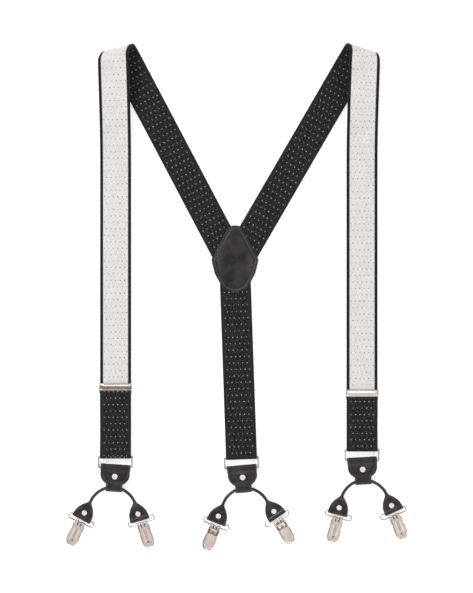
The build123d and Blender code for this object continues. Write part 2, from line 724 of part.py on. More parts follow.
def main():
    os.makedirs("parts", exist_ok=True)

    # back patch and straps
    save(make_patch_layer(0.0, PATCH_BACKING, 0.3), "patch_backing")
    save(make_patch_layer(PATCH_FRONT_Z, PATCH_FRONT, 0.6), "patch_front")
    save(make_patch_stitching(), "patch_stitching")
    save(make_back_strap(), "back_strap")
    adjuster_frame = make_adjuster_frame()
    adjuster_lever = make_adjuster_lever()
    for name, front in FRONTS.items():
        save(make_front_strap(front), f"{name}_strap")
        save(make_lower_strap(front, CLUSTERS[name]["height"]), f"{name}_strap_lower")
        place = Pos(front["run_x"], front["adjuster_y"], 0)
        save(place * adjuster_frame, f"{name}_adjuster_frame")
        save(place * adjuster_lever, f"{name}_adjuster_lever")

    # leather clusters and clips
    strap_ring = wire_loop(RING_HALF, RING_PITCH, RING_CORNER, RING_WIRE)
    wire_ring = wire_loop(WIRE_HALF + WIRE_PITCH / 2, WIRE_PITCH, WIRE_PITCH / 2 - 0.01, WIRE)
    runner_tab = make_runner_tab()
    runner_rivet = make_rivet(RIVET_CAP, TAB_LAYER + LEATHER / 2 + 0.05)
    end_rivet = make_rivet(END_RIVET_CAP, END_LAYER + END_LEATHER / 2 + 0.05)
    clip_pieces = {
        "clip_back_plate": make_back_plate(),
        "clip_pad": make_pad(),
        "clip_tongue": make_tongue(),
        "clip_lever": make_clip_lever(),
    }
    for name, cluster in CLUSTERS.items():
        frames = cluster_frames(cluster)
        save(frames["ring"] * strap_ring, f"{name}_strap_ring")
        save(frames["tab"] * runner_tab, f"{name}_runner_tab")
        save(frames["tab"] * Pos(0, -RIVET_DROP, 0) * runner_rivet, f"{name}_runner_rivet")
        leans = runner_leans(cluster)
        body = frames["runner"] * frames["turn"]
        save(body * make_runner(leans), f"{name}_runner")
        seats = [body * end_tab_place(side, lean) for side, lean in zip((-1, 1), leans)]
        rivets = [seat * Pos(0, END_RIVET_Y, 0) * end_rivet for seat in seats]
        save(Compound(children=rivets), f"{name}_end_rivets")
        for side, wire, clip in zip(("left", "right"), frames["wires"], frames["clips"]):
            save(wire * wire_ring, f"{name}_{side}_wire_ring")
            for piece, shape in clip_pieces.items():
                save(clip * shape, f"{name}_{side}_{piece}")


if __name__ == "__main__":
    main()
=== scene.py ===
import bmesh
import bpy
from math import acos, cos, hypot, pi, radians, sin, sqrt
from mathutils import Matrix, Vector, noise


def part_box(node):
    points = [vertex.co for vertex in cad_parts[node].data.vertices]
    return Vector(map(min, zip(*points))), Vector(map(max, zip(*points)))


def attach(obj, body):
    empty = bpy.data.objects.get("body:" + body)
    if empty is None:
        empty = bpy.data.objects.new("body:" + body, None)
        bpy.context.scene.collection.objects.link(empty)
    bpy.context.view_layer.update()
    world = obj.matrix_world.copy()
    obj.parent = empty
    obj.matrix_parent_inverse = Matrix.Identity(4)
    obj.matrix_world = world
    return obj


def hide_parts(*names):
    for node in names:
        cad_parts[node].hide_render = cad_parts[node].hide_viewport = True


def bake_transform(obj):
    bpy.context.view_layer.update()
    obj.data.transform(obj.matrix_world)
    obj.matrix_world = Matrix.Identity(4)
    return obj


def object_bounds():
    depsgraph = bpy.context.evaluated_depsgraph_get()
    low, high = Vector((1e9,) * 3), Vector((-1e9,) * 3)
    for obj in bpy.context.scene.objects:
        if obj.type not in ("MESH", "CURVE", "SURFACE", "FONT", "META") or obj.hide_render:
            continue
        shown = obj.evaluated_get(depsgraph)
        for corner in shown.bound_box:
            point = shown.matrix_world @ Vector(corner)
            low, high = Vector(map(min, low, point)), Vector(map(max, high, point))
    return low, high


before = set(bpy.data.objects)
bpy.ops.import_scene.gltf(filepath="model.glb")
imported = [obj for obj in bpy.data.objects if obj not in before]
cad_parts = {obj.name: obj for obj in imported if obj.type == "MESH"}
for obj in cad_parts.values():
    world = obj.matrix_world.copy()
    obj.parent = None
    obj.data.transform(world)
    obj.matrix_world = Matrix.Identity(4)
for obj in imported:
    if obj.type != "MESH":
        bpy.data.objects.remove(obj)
cad_box = [list(corner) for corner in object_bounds()]
MM = 0.001

# webbing
WEB_WIDTH = 35 * MM
WEB_THICK = 1.5 * MM
WEB_HALF = WEB_WIDTH / 2
FLAT_Z = 0.1 * MM + WEB_THICK / 2
LAYER_STEP = WEB_THICK + 0.1 * MM
PATCH_STRAP_Z = 1.3 * MM + WEB_THICK / 2
WEB_STEP = 3 * MM
ARM_START_Y = -12.5 * MM
ARM_GAP = 0.1 * MM
DRAPE_Y = 44 * MM
DRAPE = 40 * MM

# shoulder fold and the drop down the front
FOLD_RADIUS = 10 * MM
FRONT_DROP = 130 * MM
FRONT_SETTLE = 110 * MM
ADJ_STRAP_Z = 1.8 * MM
ADJ_BAR_Y = -6.2 * MM
ADJ_BAR_BORE = 0.65 * MM
ADJ_TAIL = 16 * MM
ADJ_TAIL_Z = ADJ_STRAP_Z + LAYER_STEP
ADJ_BAR_Z = ADJ_TAIL_Z + WEB_THICK / 2 + ADJ_BAR_BORE
LOOP_RADIUS = 1.2 * MM + WEB_THICK / 2
BACK_START_Y = -14.5 * MM
BACK_LEAN = 2.0
BACK_X = -0.5 * MM

# runner tabs
RING_PITCH = 12.6 * MM
LEATHER = 1.2 * MM
TAB_BORE = 1.25 * MM
TAB_SLACK = 1.3 * MM
TAB_DROP = 22.5 * MM
TAB_LAYER = 1.3 * MM
CORD_RADIUS = 1.8 * MM
CORD_BORE = CORD_RADIUS + 0.15 * MM
CORD_SAG = 1.9 * MM
RIVET_DROP = 10.2 * MM

# runners
ARC_RADIUS = 27 * MM
ARC_HALF = 67.0
END_LEATHER = 1.1 * MM
END_REACH = 19.8 * MM
END_BORE = 0.9 * MM
END_SLACK = 0.7 * MM
END_LAYER = 0.65 * MM
END_LEAF = 14.0 * MM
WIRE_PITCH = 6.0 * MM
BACK_PITCH = 3.2

# the two front straps and the three leather clusters, as the frame has them
FRONTS = {
    "left": dict(
        side=-1, heading=27.8, meet_y=-8.3, fold_y=229.8, fold_axis=15.3,
        drift=-4.4, run_x=-134.7, adjuster_y=-143.4, ring_y=-221.3,
        web_start=7.8 * MM, turn_start=-1.2 * MM,
    ),
    "right": dict(
        side=1, heading=30.1, meet_y=-6.0, fold_y=229.7, fold_axis=-17.9,
        drift=2.5, run_x=143.3, adjuster_y=-150.4, ring_y=-213.3,
        web_start=0.9 * MM, turn_start=6.2 * MM,
    ),
}
CLUSTERS = {
    "left": dict(
        bar=(-134.7, -221.3), height=5.0, flipped=True, ring_yaw=0.0, tab_yaw=-4.0,
        runner_yaw=0.0, end_leans=(-28.5, 16.5), ring_leans=(-25.0, 18.5), shifts=(0.6, 1.3),
    ),
    "right": dict(
        bar=(143.3, -213.3), height=5.0, flipped=True, ring_yaw=0.0, tab_yaw=3.2,
        runner_yaw=2.0, end_leans=(-14.5, 24.5), ring_leans=(-15.0, 22.0), shifts=(1.6, -1.5),
    ),
    "back": dict(
        bar=(7.26, -222.36), height=3.5, flipped=False, ring_yaw=2.0, tab_yaw=5.0,
        runner_yaw=4.5, end_leans=(-21.5, 34.0), ring_leans=(-22.5, 31.0), shifts=(1.3, -1.3),
    ),
}
UP = Vector((0, 0, 1))


def smooth(t):
    t = min(max(t, 0.0), 1.0)
    return 0.5 - 0.5 * cos(pi * t)


def mix(a, b, t):
    return a + (b - a) * t


def turn_z(angle, x=0.0, y=0.0, z=0.0):
    """A place turned about Z, angle in degrees."""
    return Matrix.Translation((x, y, z)) @ Matrix.Rotation(radians(angle), 4, "Z")


# ---------------------------------------------------------------- node helpers
class Nodes:
    """Short names for building a material's node tree."""

    def __init__(self, name, slot_colour):
        self.material = bpy.data.materials.new(name)
        self.material.use_nodes = True
        self.material.diffuse_color = (*slot_colour, 1)
        self.tree = self.material.node_tree
        self.shader = self.tree.nodes["Principled BSDF"]

    def put(self, socket, value):
        if isinstance(value, bpy.types.NodeSocket):
            self.tree.links.new(value, socket)
        elif value is not None:
            socket.default_value = value

    def node(self, kind, **settings):
        made = self.tree.nodes.new(kind)
        for key, value in settings.items():
            setattr(made, key, value)
        return made

    def math(self, operation, a, b=None, c=None, clamp=False):
        made = self.node("ShaderNodeMath", operation=operation, use_clamp=clamp)
        for socket, value in zip(made.inputs, (a, b, c)):
            self.put(socket, value)
        return made.outputs[0]

    def times(self, a, b, clamp=False):
        return self.math("MULTIPLY", a, b, clamp=clamp)

    def plus(self, a, b):
        return self.math("ADD", a, b)

    def minus(self, a, b):
        return self.math("SUBTRACT", a, b)

    def scaled(self, value, scale, offset):
        return self.math("MULTIPLY_ADD", value, scale, offset)

    def absolute(self, value):
        return self.math("ABSOLUTE", value)

    def split(self, where):
        """The x and y of a vector."""
        made = self.node("ShaderNodeSeparateXYZ")
        self.put(made.inputs[0], where)
        return made.outputs[0], made.outputs[1]

    def reach(self, x, y):
        """The length of (x, y)."""
        return self.math("SQRT", self.plus(self.times(x, x), self.times(y, y)))

    def tint(self, colour, factor, share, over):
        """The colour with another laid over it, by a share of the factor."""
        return self.blend(self.times(factor, share), colour, over)

    def ramp(self, value, low, high):
        """Smoothly from 0 at low to 1 at high."""
        made = self.node("ShaderNodeMapRange", interpolation_type="SMOOTHSTEP")
        for socket, setting in zip(made.inputs, (value, low, high, 0.0, 1.0)):
            self.put(socket, setting)
        return made.outputs[0]

    def blend(self, factor, a, b):
        made = self.node("ShaderNodeMix", data_type="RGBA")
        self.put(made.inputs[0], factor)
        self.put(made.inputs[6], a)
        self.put(made.inputs[7], b)
        return made.outputs[2]

    def uv(self, name="web"):
        """The UV map's vector, and its two values."""
        where = self.node("ShaderNodeUVMap", uv_map=name).outputs[0]
        return (where, *self.split(where))

    def place(self):
        return self.node("ShaderNodeTexCoord").outputs["Object"]

    def stretched(self, where, scale):
        made = self.node("ShaderNodeMapping")
        self.put(made.inputs["Vector"], where)
        made.inputs["Scale"].default_value = scale
        return made.outputs[0]

    def ramp_mm(self, value, low, high):
        """A ramp with its limits in millimetres."""
        return self.ramp(value, low * MM, high * MM)

    def line(self, value, middle, half, soft):
        """1 within half of the middle, falling to 0 over soft more, all in millimetres."""
        off = self.absolute(self.minus(value, middle * MM))
        return self.ramp_mm(off, half + soft, half)

    def noise(self, where, scale, detail=3.0, rough=0.5):
        made = self.node("ShaderNodeTexNoise")
        self.put(made.inputs["Vector"], where)
        made.inputs["Scale"].default_value = scale
        made.inputs["Detail"].default_value = detail
        made.inputs["Roughness"].default_value = rough
        return made.outputs["Fac"]

    def cells(self, where, scale):
        made = self.node("ShaderNodeTexVoronoi", feature="DISTANCE_TO_EDGE")
        self.put(made.inputs["Vector"], where)
        made.inputs["Scale"].default_value = scale
        return made.outputs["Distance"]

    def bump(self, height, distance, strength=1.0, under=None):
        made = self.node("ShaderNodeBump")
        made.inputs["Strength"].default_value = strength
        made.inputs["Distance"].default_value = distance
        self.put(made.inputs["Height"], height)
        self.put(made.inputs["Normal"], under)
        return made.outputs[0]

    def set(self, **values):
        for key, value in values.items():
            self.put(self.shader.inputs[key.replace("_", " ")], value)


def grey(level, warm=0.0):
    return (level * (1 + warm), level, level * (1 - warm), 1)


# ---------------------------------------------------------------- materials
DOT_PITCH = 5.07 * MM
DOT_ROW = 7.27 * MM
RIB_PITCH = 0.95 * MM
WARP_PITCH = 0.8 * MM


def webbing_material(name, ground, dot, edge, fleck, speckle, mottle):
    """Elastic webbing: crosswise ribs, lengthwise warp, staggered dots and a plain selvedge."""
    n = Nodes(name, ground[:3])
    where, across, along = n.uv()
    row = n.math("FLOOR", n.scaled(along, 1 / DOT_ROW, 0.5))
    odd = n.math("MODULO", n.absolute(row), 2.0)
    column = n.scaled(across, 1 / DOT_PITCH, n.times(odd, 0.5))
    place = n.math("ROUND", column)
    off_u = n.times(n.minus(column, place), DOT_PITCH)
    line = n.times(along, 1 / DOT_ROW)
    off_v = n.times(n.minus(line, row), DOT_ROW)
    reach = n.reach(n.math("DIVIDE", off_u, 0.62 * MM), n.math("DIVIDE", off_v, 0.66 * MM))
    wide = n.absolute(across)
    inside = n.ramp_mm(wide, 14.0, 13.6)
    spot = n.times(n.ramp(reach, 1.15, 0.8), inside)
    cell = n.node("ShaderNodeCombineXYZ")
    n.put(cell.inputs[0], place)
    n.put(cell.inputs[1], row)
    chance = n.node("ShaderNodeTexWhiteNoise", noise_dimensions="2D")
    n.put(chance.inputs["Vector"], cell.outputs[0])
    showing = n.times(spot, n.scaled(chance.outputs["Value"], 0.6, 0.4))
    rib = n.math("SINE", n.times(along, 2 * pi / RIB_PITCH))
    warp = n.math("SINE", n.times(across, 2 * pi / WARP_PITCH))
    fuzz = n.noise(where, 2600, 4, 0.65)
    cloud = n.noise(where, 60, 3, 0.5)
    patchy = n.noise(where, 640, 2, 0.6)
    streak = n.noise(n.stretched(where, (950, 45, 1)), 1.0, 2, 0.6)
    selvedge = n.ramp_mm(wide, 13.85, 14.15)
    calm = n.scaled(selvedge, -0.6, 1.0)
    floats = n.math("COSINE", n.times(across, 4 * pi / DOT_PITCH))
    grain = n.scaled(n.times(rib, warp), speckle * 0.35, -0.5 * speckle)
    grain = n.plus(grain, n.plus(n.times(fuzz, speckle), n.times(floats, 0.03)))
    for part, share in ((patchy, mottle), (streak, 0.6 * mottle), (cloud, 0.2)):
        grain = n.plus(grain, n.scaled(part, share, -share / 2))
    shade = n.math("MAXIMUM", n.scaled(grain, calm, 1.0), 0.15)
    colour = n.blend(selvedge, ground, edge)
    scaled = n.node("ShaderNodeVectorMath", operation="SCALE")
    n.put(scaled.inputs[0], colour)
    n.put(scaled.inputs["Scale"], shade)
    tufts = n.noise(n.stretched(where, (1, 0.8, 1)), 760, 2, 0.6)
    flecks = n.times(n.ramp(tufts, 0.52, 0.74), n.ramp_mm(wide, 15.5, 14.0))
    colour = n.blend(flecks, scaled.outputs[0], fleck)
    colour = n.blend(showing, colour, dot)
    height = n.scaled(n.absolute(rib), 0.6, n.times(warp, 0.25))
    height = n.plus(height, n.times(fuzz, 0.5))
    height = n.plus(height, n.times(spot, 0.7))
    rim = n.ramp_mm(wide, 16.4, 17.3)
    height = n.minus(height, n.times(rim, 0.8))
    n.set(Base_Color=colour, Roughness=0.86, Normal=n.bump(height, 0.14 * MM, 0.9))
    n.set(Sheen_Weight=0.14, Sheen_Roughness=0.4, Specular_IOR_Level=0.22)
    return n.material


def leather_material(name, base, gloss=0.42, edging=None):
    """Finished leather: fine grain, pores, soft creases and a pressed line along its edges, with painted
    highlights along the edges, over the cords and across wide middles, painted sheen on the patch's flanks
    and painted shade inside its stitch line.
    """
    n = Nodes(name, base[:3])
    where = n.place()
    grain = n.cells(where, 1500)
    pores = n.noise(where, 3200, 2, 0.6)
    creases = n.noise(where, 140, 5, 0.62)
    cloud = n.noise(where, 45, 3, 0.5)
    blotch = n.noise(where, 420 if edging == "pressed" else 60, 3, 0.6)
    tone = n.scaled(cloud, 0.4, n.times(creases, 0.35))
    tone = n.scaled(blotch, 0.35, tone)
    lighter = (base[0] * 4.6, base[1] * 3.9, base[2] * 4.1, 1)
    colour = n.blend(n.ramp(tone, 0.44, 0.68), base, lighter)
    height = n.scaled(n.ramp(grain, 0.0, 0.12), 0.5, n.times(pores, 0.35))
    fine = n.bump(height, 0.05 * MM, 0.7)
    # the lighter colour of the painted highlights and painted sheen below
    highlight_colour = (0.060, 0.053, 0.053, 1)
    if edging == "stitched":
        margin = n.uv("edge")[1]
        x, y = n.split(where)
        # painted sheen: the patch's left and right flanks are lightened toward the highlight colour,
        # standing in for the soft highlight on its domed sides
        sheen_sides = n.times(n.ramp_mm(n.absolute(x), 9, 21), n.line(y, -2, 6, 16))
        painted_sheen = n.times(sheen_sides, n.ramp_mm(margin, 4.6, 6.0))
        colour = n.tint(colour, painted_sheen, 0.55, highlight_colour)
        # painted highlight: a lighter line along the raised rim between the edge and the stitches
        edge = n.line(margin, 2.4, 0.2, 0.7)
        colour = n.tint(colour, edge, 0.4, highlight_colour)
        # painted shade: a near-black band just inside the stitch line, where the groove lies in shade
        groove_shade = n.line(margin, 4.4, 0.3, 0.5)
        colour = n.tint(colour, groove_shade, 0.8, grey(0.001))
    if edging == "pressed":
        margin = n.uv("edge")[1]
        off = n.absolute(n.minus(margin, 1.5 * MM))
        groove = n.ramp_mm(off, 0.45, 0.0)
        fine = n.bump(n.times(groove, -1.0), 0.35 * MM, 1.0, fine)
        # painted highlight: a lighter line along the pressed groove near the edges, broken up by the
        # creases
        line = n.times(n.ramp_mm(off, 1.1, 0.3), n.ramp(creases, 0.3, 0.55))
        # painted highlight: lighter cloudy patches more than about 6 mm from the edges, along the rolled
        # cords and over the middle of wider leather
        soft_highlight = n.times(n.ramp_mm(margin, 5, 7), n.ramp(cloud, 0.3, 0.7))
        colour = n.tint(colour, line, 0.75, highlight_colour)
        colour = n.tint(colour, soft_highlight, 0.30, highlight_colour)
    soft = n.bump(creases, 1.3 * MM, 0.5, fine)
    rough = n.scaled(creases, 0.22, gloss - 0.1)
    n.set(Base_Color=colour, Roughness=rough, Normal=soft, Specular_IOR_Level=0.42)
    n.set(Coat_Weight=0.12, Coat_Roughness=0.22)
    return n.material


def metal_material(name, base, roughness, brushed=0.0):
    """Plated metal: uneven polish, faint scratches and a little dulling."""
    n = Nodes(name, base[:3])
    where = n.place()
    cloud = n.noise(where, 120, 3, 0.5)
    speck = n.noise(where, 1800, 3, 0.6)
    darker = (base[0] * 0.86, base[1] * 0.84, base[2] * 0.82, 1)
    colour = n.blend(n.ramp(cloud, 0.35, 0.7), base, darker)
    scratches = n.noise(n.stretched(where, (1800, 160, 900)), 1.0, 2, 0.5)
    rough = n.scaled(cloud, 0.12, roughness - 0.06)
    rough = n.plus(rough, n.scaled(speck, 0.10, -0.05))
    height = n.scaled(scratches, brushed, n.times(speck, 0.12))
    bevel = n.node("ShaderNodeBevel", samples=4)
    bevel.inputs["Radius"].default_value = 0.25 * MM
    n.set(Base_Color=colour, Metallic=1.0, Roughness=rough)
    n.set(Normal=n.bump(height, 0.012 * MM, 0.5, bevel.outputs[0]))
    return n.material


def rivet_material():
    """Bright domed rivet heads, a little dulled in patches."""
    n = Nodes("rivet nickel", (0.9, 0.85, 0.83))
    cloud = n.noise(n.place(), 260, 2, 0.5)
    colour = n.blend(cloud, (1.0, 0.94, 0.92, 1), (0.86, 0.79, 0.77, 1))
    rough = n.scaled(cloud, 0.16, 0.28)
    n.set(Base_Color=colour, Metallic=0.5, Roughness=rough)
    return n.material


# the clip's outline in its own frame
PLATE_HALF = 5.6 * MM
PLATE_TAPER = 0.06
PLATE_ROUND_Y = -20.9 * MM
LEVER_HALF = 6.0 * MM
LEVER_ROUND_Y = -22.0 * MM
PEG_Y = -21.6 * MM


def clip_material(name, place, lever):
    """Pressed clip plate: rolled rim, raised channel, slots between fingers and a dimple; painted shade on
    the rim, lip, channel and dimple, painted shadow in the slots and the lever's top corners, and a
    painted highlight on the channel's ridges.
    """
    n = Nodes(name, (0.8, 0.7, 0.65))
    back = place.inverted()
    local = n.node("ShaderNodeMapping")
    n.put(local.inputs["Vector"], n.place())
    local.inputs["Location"].default_value = back.translation
    local.inputs["Rotation"].default_value = back.to_euler()
    x, y = n.split(local.outputs[0])
    wide = n.absolute(x)
    half = LEVER_HALF if lever else n.scaled(y, -PLATE_TAPER, PLATE_HALF)
    past = n.math("MAXIMUM", n.minus(LEVER_ROUND_Y if lever else PLATE_ROUND_Y, y), 0.0)
    margin = n.minus(half, n.reach(x, past))
    cloud = n.noise(local.outputs[0], 150, 3, 0.5)
    mottle = n.noise(local.outputs[0], 900, 2, 0.6)
    brushed = n.noise(n.stretched(local.outputs[0], (1500, 130, 600)), 1.0, 2, 0.5)
    rim = n.ramp_mm(margin, 1.7, 0.3)
    colour = n.blend(n.ramp(cloud, 0.3, 0.75), (0.83, 0.705, 0.65, 1), (0.66, 0.545, 0.495, 1))
    colour = n.blend(n.times(n.ramp(mottle, 0.35, 0.7), 0.22), colour, (0.60, 0.50, 0.45, 1))
    # painted shade colour, laid where the metal turns away from the light
    shade_tone = (0.30, 0.235, 0.205, 1)
    # painted shadow colour for the gaps between the fingers and the lever's top corners
    gap_shadow = (0.045, 0.030, 0.024, 1)
    height = n.ramp_mm(margin, 0.0, 1.6)
    if lever:
        # painted shade along the lever's lower lip
        lip = n.ramp_mm(y, -10.6, -9.4)
        colour = n.tint(colour, lip, 0.55, shade_tone)
        # painted shadow in the lever's top corners
        corner = n.times(n.ramp_mm(y, -10.2, -9.0), n.ramp_mm(wide, 2.6, 4.4))
        colour = n.blend(corner, colour, gap_shadow)
    else:
        span = n.times(n.ramp_mm(y, -19.9, -17.9), n.ramp_mm(y, -6.5, -8.5))
        ridge = n.times(n.line(wide, 2.7, 0.35, 0.7), span)
        # painted shade inside the pressed channel
        channel = n.times(n.ramp_mm(wide, 2.4, 0.4), span)
        # painted shadow in the slots between the rolled fingers
        slot = n.times(n.line(wide, 1.85, 0.35, 0.4), n.ramp_mm(y, -4.6, -3.4))
        # the dimple is pressed in by the bump below and painted with shade around the peg
        dimple = n.ramp_mm(n.reach(x, n.minus(y, PEG_Y)), 2.0, 1.1)
        colour = n.tint(colour, channel, 0.30, shade_tone)
        # painted highlight along the channel's two ridges, which also get a bump below
        colour = n.tint(colour, ridge, 0.35, (1.0, 0.93, 0.89, 1))
        colour = n.tint(colour, dimple, 0.55, shade_tone)
        colour = n.blend(slot, colour, gap_shadow)
        height = n.scaled(ridge, 0.5, height)
        height = n.scaled(dimple, -0.6, height)
    # painted shade along the rolled rim
    colour = n.tint(colour, rim, 0.7, shade_tone)
    height = n.scaled(brushed, 0.02, height)
    rough = n.scaled(cloud, 0.14, 0.36)
    n.set(Base_Color=colour, Metallic=1.0, Roughness=rough, Normal=n.bump(height, 0.4 * MM, 0.8))
    return n.material


def flap_material(name, bright, shade_tone):
    """Polished adjuster flap: painted shade on the slanted upper lip, a bright ridge, a hollow streaked
    with painted shade and a thin bright lower lip.
    """
    n = Nodes(name, bright[:3])
    where, _, along = n.uv()
    cloud = n.noise(n.stretched(where, (90, 500, 1)), 1.0, 3, 0.6)
    # painted shade: the hollow is streaked toward the shade tone
    hollow = n.times(n.ramp_mm(along, 2.2, 3.2), n.ramp_mm(along, 7.6, 6.9))
    hollow_shade = n.times(hollow, n.scaled(cloud, 0.7, 0.6), clamp=True)
    # painted shade: a brownish band on the slanted upper lip, then the bright ridge
    warm = n.blend(n.ramp_mm(along, 0.9, 1.5), (0.62, 0.50, 0.44, 1), bright)
    colour = n.blend(hollow_shade, warm, shade_tone)
    rough = n.scaled(cloud, 0.15, 0.20)
    n.set(Base_Color=colour, Metallic=0.7, Roughness=rough, Normal=n.bump(cloud, 0.01 * MM, 0.3))
    return n.material


def thread_material():
    n = Nodes("stitch thread", (0.03, 0.028, 0.03))
    where = n.place()
    twist = n.noise(where, 2500, 2, 0.5)
    colour = n.blend(twist, grey(0.05), grey(0.15, 0.03))
    n.set(Base_Color=colour, Roughness=0.6, Normal=n.bump(twist, 0.08 * MM, 0.8))
    n.set(Sheen_Weight=0.15)
    return n.material


def plastic_material():
    n = Nodes("grip plastic", (0.16, 0.08, 0.04))
    where = n.place()
    mottle = n.noise(where, 300, 4, 0.6)
    colour = n.blend(mottle, (0.10, 0.045, 0.02, 1), (0.22, 0.11, 0.055, 1))
    rough = n.scaled(mottle, 0.2, 0.4)
    n.set(Base_Color=colour, Roughness=rough, Normal=n.bump(mottle, 0.05 * MM, 0.5))
    return n.material


BLACK = (0.0100, 0.0082, 0.0092, 1)
OUTER = webbing_material("webbing outer", BLACK, (0.40, 0.375, 0.385, 1), (0.0150, 0.0140, 0.0145, 1),
                         (0.095, 0.085, 0.090, 1), 1.3, 4.6)
INNER = webbing_material("webbing inner", (0.73, 0.70, 0.69, 1), (0.12, 0.11, 0.11, 1), BLACK,
                         (0.52, 0.49, 0.48, 1), 0.42, 0.36)
LEATHER_DARK = leather_material("leather", (0.0044, 0.0031, 0.0032, 1), 0.34, "pressed")
LEATHER_PATCH = leather_material("patch leather", (0.0058, 0.0050, 0.0053, 1), 0.34, "stitched")
LEATHER_UNDER = leather_material("patch backing leather", (0.012, 0.009, 0.0085, 1), 0.6)
LEATHER_BACK = leather_material("leather flesh side", (0.016, 0.011, 0.010, 1), 0.7, "pressed")
THREAD = thread_material()
PLASTIC = plastic_material()
RING_METAL = metal_material("ring nickel", (0.52, 0.51, 0.50, 1), 0.24)
RIVET_METAL = rivet_material()
CLIP_METAL = metal_material("clip plate", (0.80, 0.70, 0.65, 1), 0.40, 0.5)
ADJUSTER_METAL = metal_material("adjuster plate", (0.84, 0.76, 0.69, 1), 0.16, 0.2)
# painted light: the same polished plate on both sides, the left given dark painted shade in its hollow,
# the right a pale one and a whiter base, as each side catches the light
FLAPS = {
    "left": flap_material("left flap plate", (1.0, 0.90, 0.85, 1), (0.27, 0.21, 0.18, 1)),
    "right": flap_material("right flap plate", (1.0, 0.95, 0.93, 1), (0.92, 0.84, 0.80, 1)),
}


# ---------------------------------------------------------------- meshes
def new_object(name, points, faces, materials, indices=None, maps=None):
    """A smooth mesh object whose faces all look outward; maps hold a UV for each point."""
    mesh = bpy.data.meshes.new(name)
    mesh.from_pydata([tuple(p) for p in points], [], faces)
    for material in materials:
        mesh.materials.append(material)
    if indices:
        mesh.polygons.foreach_set("material_index", indices)
    shell = bmesh.new()
    shell.from_mesh(mesh)
    bmesh.ops.recalc_face_normals(shell, faces=shell.faces)
    shell.to_mesh(mesh)
    shell.free()
    for key, marks in (maps or {}).items():
        layer = mesh.uv_layers.new(name=key)
        for loop in mesh.loops:
            layer.data[loop.index].uv = marks[loop.vertex_index]
    mesh.polygons.foreach_set("use_smooth", [True] * len(mesh.polygons))
    mesh.update()
    made = bpy.data.objects.new(name, mesh)
    bpy.context.scene.collection.objects.link(made)
    return made


def ring_faces(rows, sides, base=0):
    """Quads between neighbouring rings of points, row by row."""
    faces = []
    for k in range(rows - 1):
        low = base + k * sides
        high = low + sides
        for j in range(sides):
            i = (j + 1) % sides
            faces.append([low + j, low + i, high + i, high + j])
    return faces


def add_rod(points, faces, run, rows, sides):
    """A closed rod along run, through rows of (centre, half width, half height)."""
    base = len(points)
    side = run.normalized().cross(UP).normalized()
    for centre, wide, high in rows:
        for j in range(sides):
            angle = 2 * pi * j / sides
            points.append(centre + side * (wide * cos(angle)) + UP * (high * sin(angle)))
    faces += ring_faces(len(rows), sides, base)
    faces += [list(range(base, base + sides))[::-1], list(range(len(points) - sides, len(points)))]


def edge_profile(thick, across_steps, rounding=0.8):
    """The cross-section of a strip, from -1 to 1 across: top, edge, bottom, edge."""
    half = thick / 2
    edge = []
    for k in range(1, 4):
        angle = pi / 2 - pi * k / 4
        edge.append((rounding * half * cos(angle), half * sin(angle)))
    top = [(-1 + 2 * k / across_steps, 0.0, half) for k in range(across_steps + 1)]
    right = [(1.0, out, rise) for out, rise in edge]
    bottom = [(-u, 0.0, -half) for u, _, _ in top]
    left = [(-1.0, -out, -rise) for out, rise in edge]
    return top + right + bottom + left, across_steps


class Station:
    """One place along a strip: middle line, direction across, outward normal and the edges."""

    def __init__(self, centre, across, normal, half, low=None, high=None):
        self.centre = Vector(centre)
        self.across = Vector(across)
        self.normal = Vector(normal)
        self.half = half
        self.low = -half if low is None else low
        self.high = half if high is None else high


def strip(name, stations, thick, materials, across_steps=14, lift=None, start=0.0, true_half=None):
    """A strip with rounded edges through the stations.

    UV map "web" is where each point lies on the strip when it is unrolled, and UV map "edge" its
    distance from the nearer long edge, both in metres.
    """
    profile, steps = edge_profile(thick, across_steps)
    size = len(profile)
    inset = 0.8 * thick / 2
    points = []
    marks = []
    margins = []
    run = start
    last = len(stations) - 1
    for k, station in enumerate(stations):
        before = stations[max(k - 1, 0)].centre
        after = stations[min(k + 1, last)].centre
        if k:
            run += (station.centre - before).length
        slant = (after - before).normalized().dot(station.across)
        straight = sqrt(max(1 - slant * slant, 0))
        for u, out, rise in profile:
            reach = mix(station.low + inset, station.high - inset, (u + 1) / 2) + out
            extra = lift(station, u, run) if lift else 0.0
            spot = station.centre + station.across * reach + station.normal * (rise + extra)
            points.append(spot)
            flat = reach / station.half * true_half if true_half else reach * straight
            marks.append((flat, run + reach * slant))
            margins.append((min(reach - station.low, station.high - reach), run))
    faces = []
    indices = []
    for k in range(last):
        for j in range(size):
            i = (j + 1) % size
            faces.append([k * size + j, (k + 1) * size + j, (k + 1) * size + i, k * size + i])
            lower = steps + 4 <= j < 2 * steps + 4
            indices.append(1 if lower and len(materials) > 1 else 0)
    faces += [list(range(size)), list(range(last * size, (last + 1) * size))[::-1]]
    indices += [0, 0]
    maps = {"web": marks, "edge": margins}
    return new_object(name, points, faces, materials, indices, maps)


def side_stations(path, half, place=None):
    """Stations of a strip whose side view is a path of (y, z) points."""
    place = place or Matrix.Identity(4)
    turn = place.to_3x3()
    stations = []
    last = len(path) - 1
    for k, (y, z) in enumerate(path):
        a = Vector(path[max(k - 1, 0)])
        b = Vector(path[min(k + 1, last)])
        here = Vector((y, z))
        before = (here - a).normalized() if k else (b - here).normalized()
        after = (b - here).normalized() if k < last else before
        run = (before + after).normalized()
        normal = turn @ Vector((0, -run.y, run.x))
        wide = half(k, y) if callable(half) else half
        stations.append(Station(place @ Vector((0, y, z)), turn @ Vector((1, 0, 0)), normal, wide))
    return stations


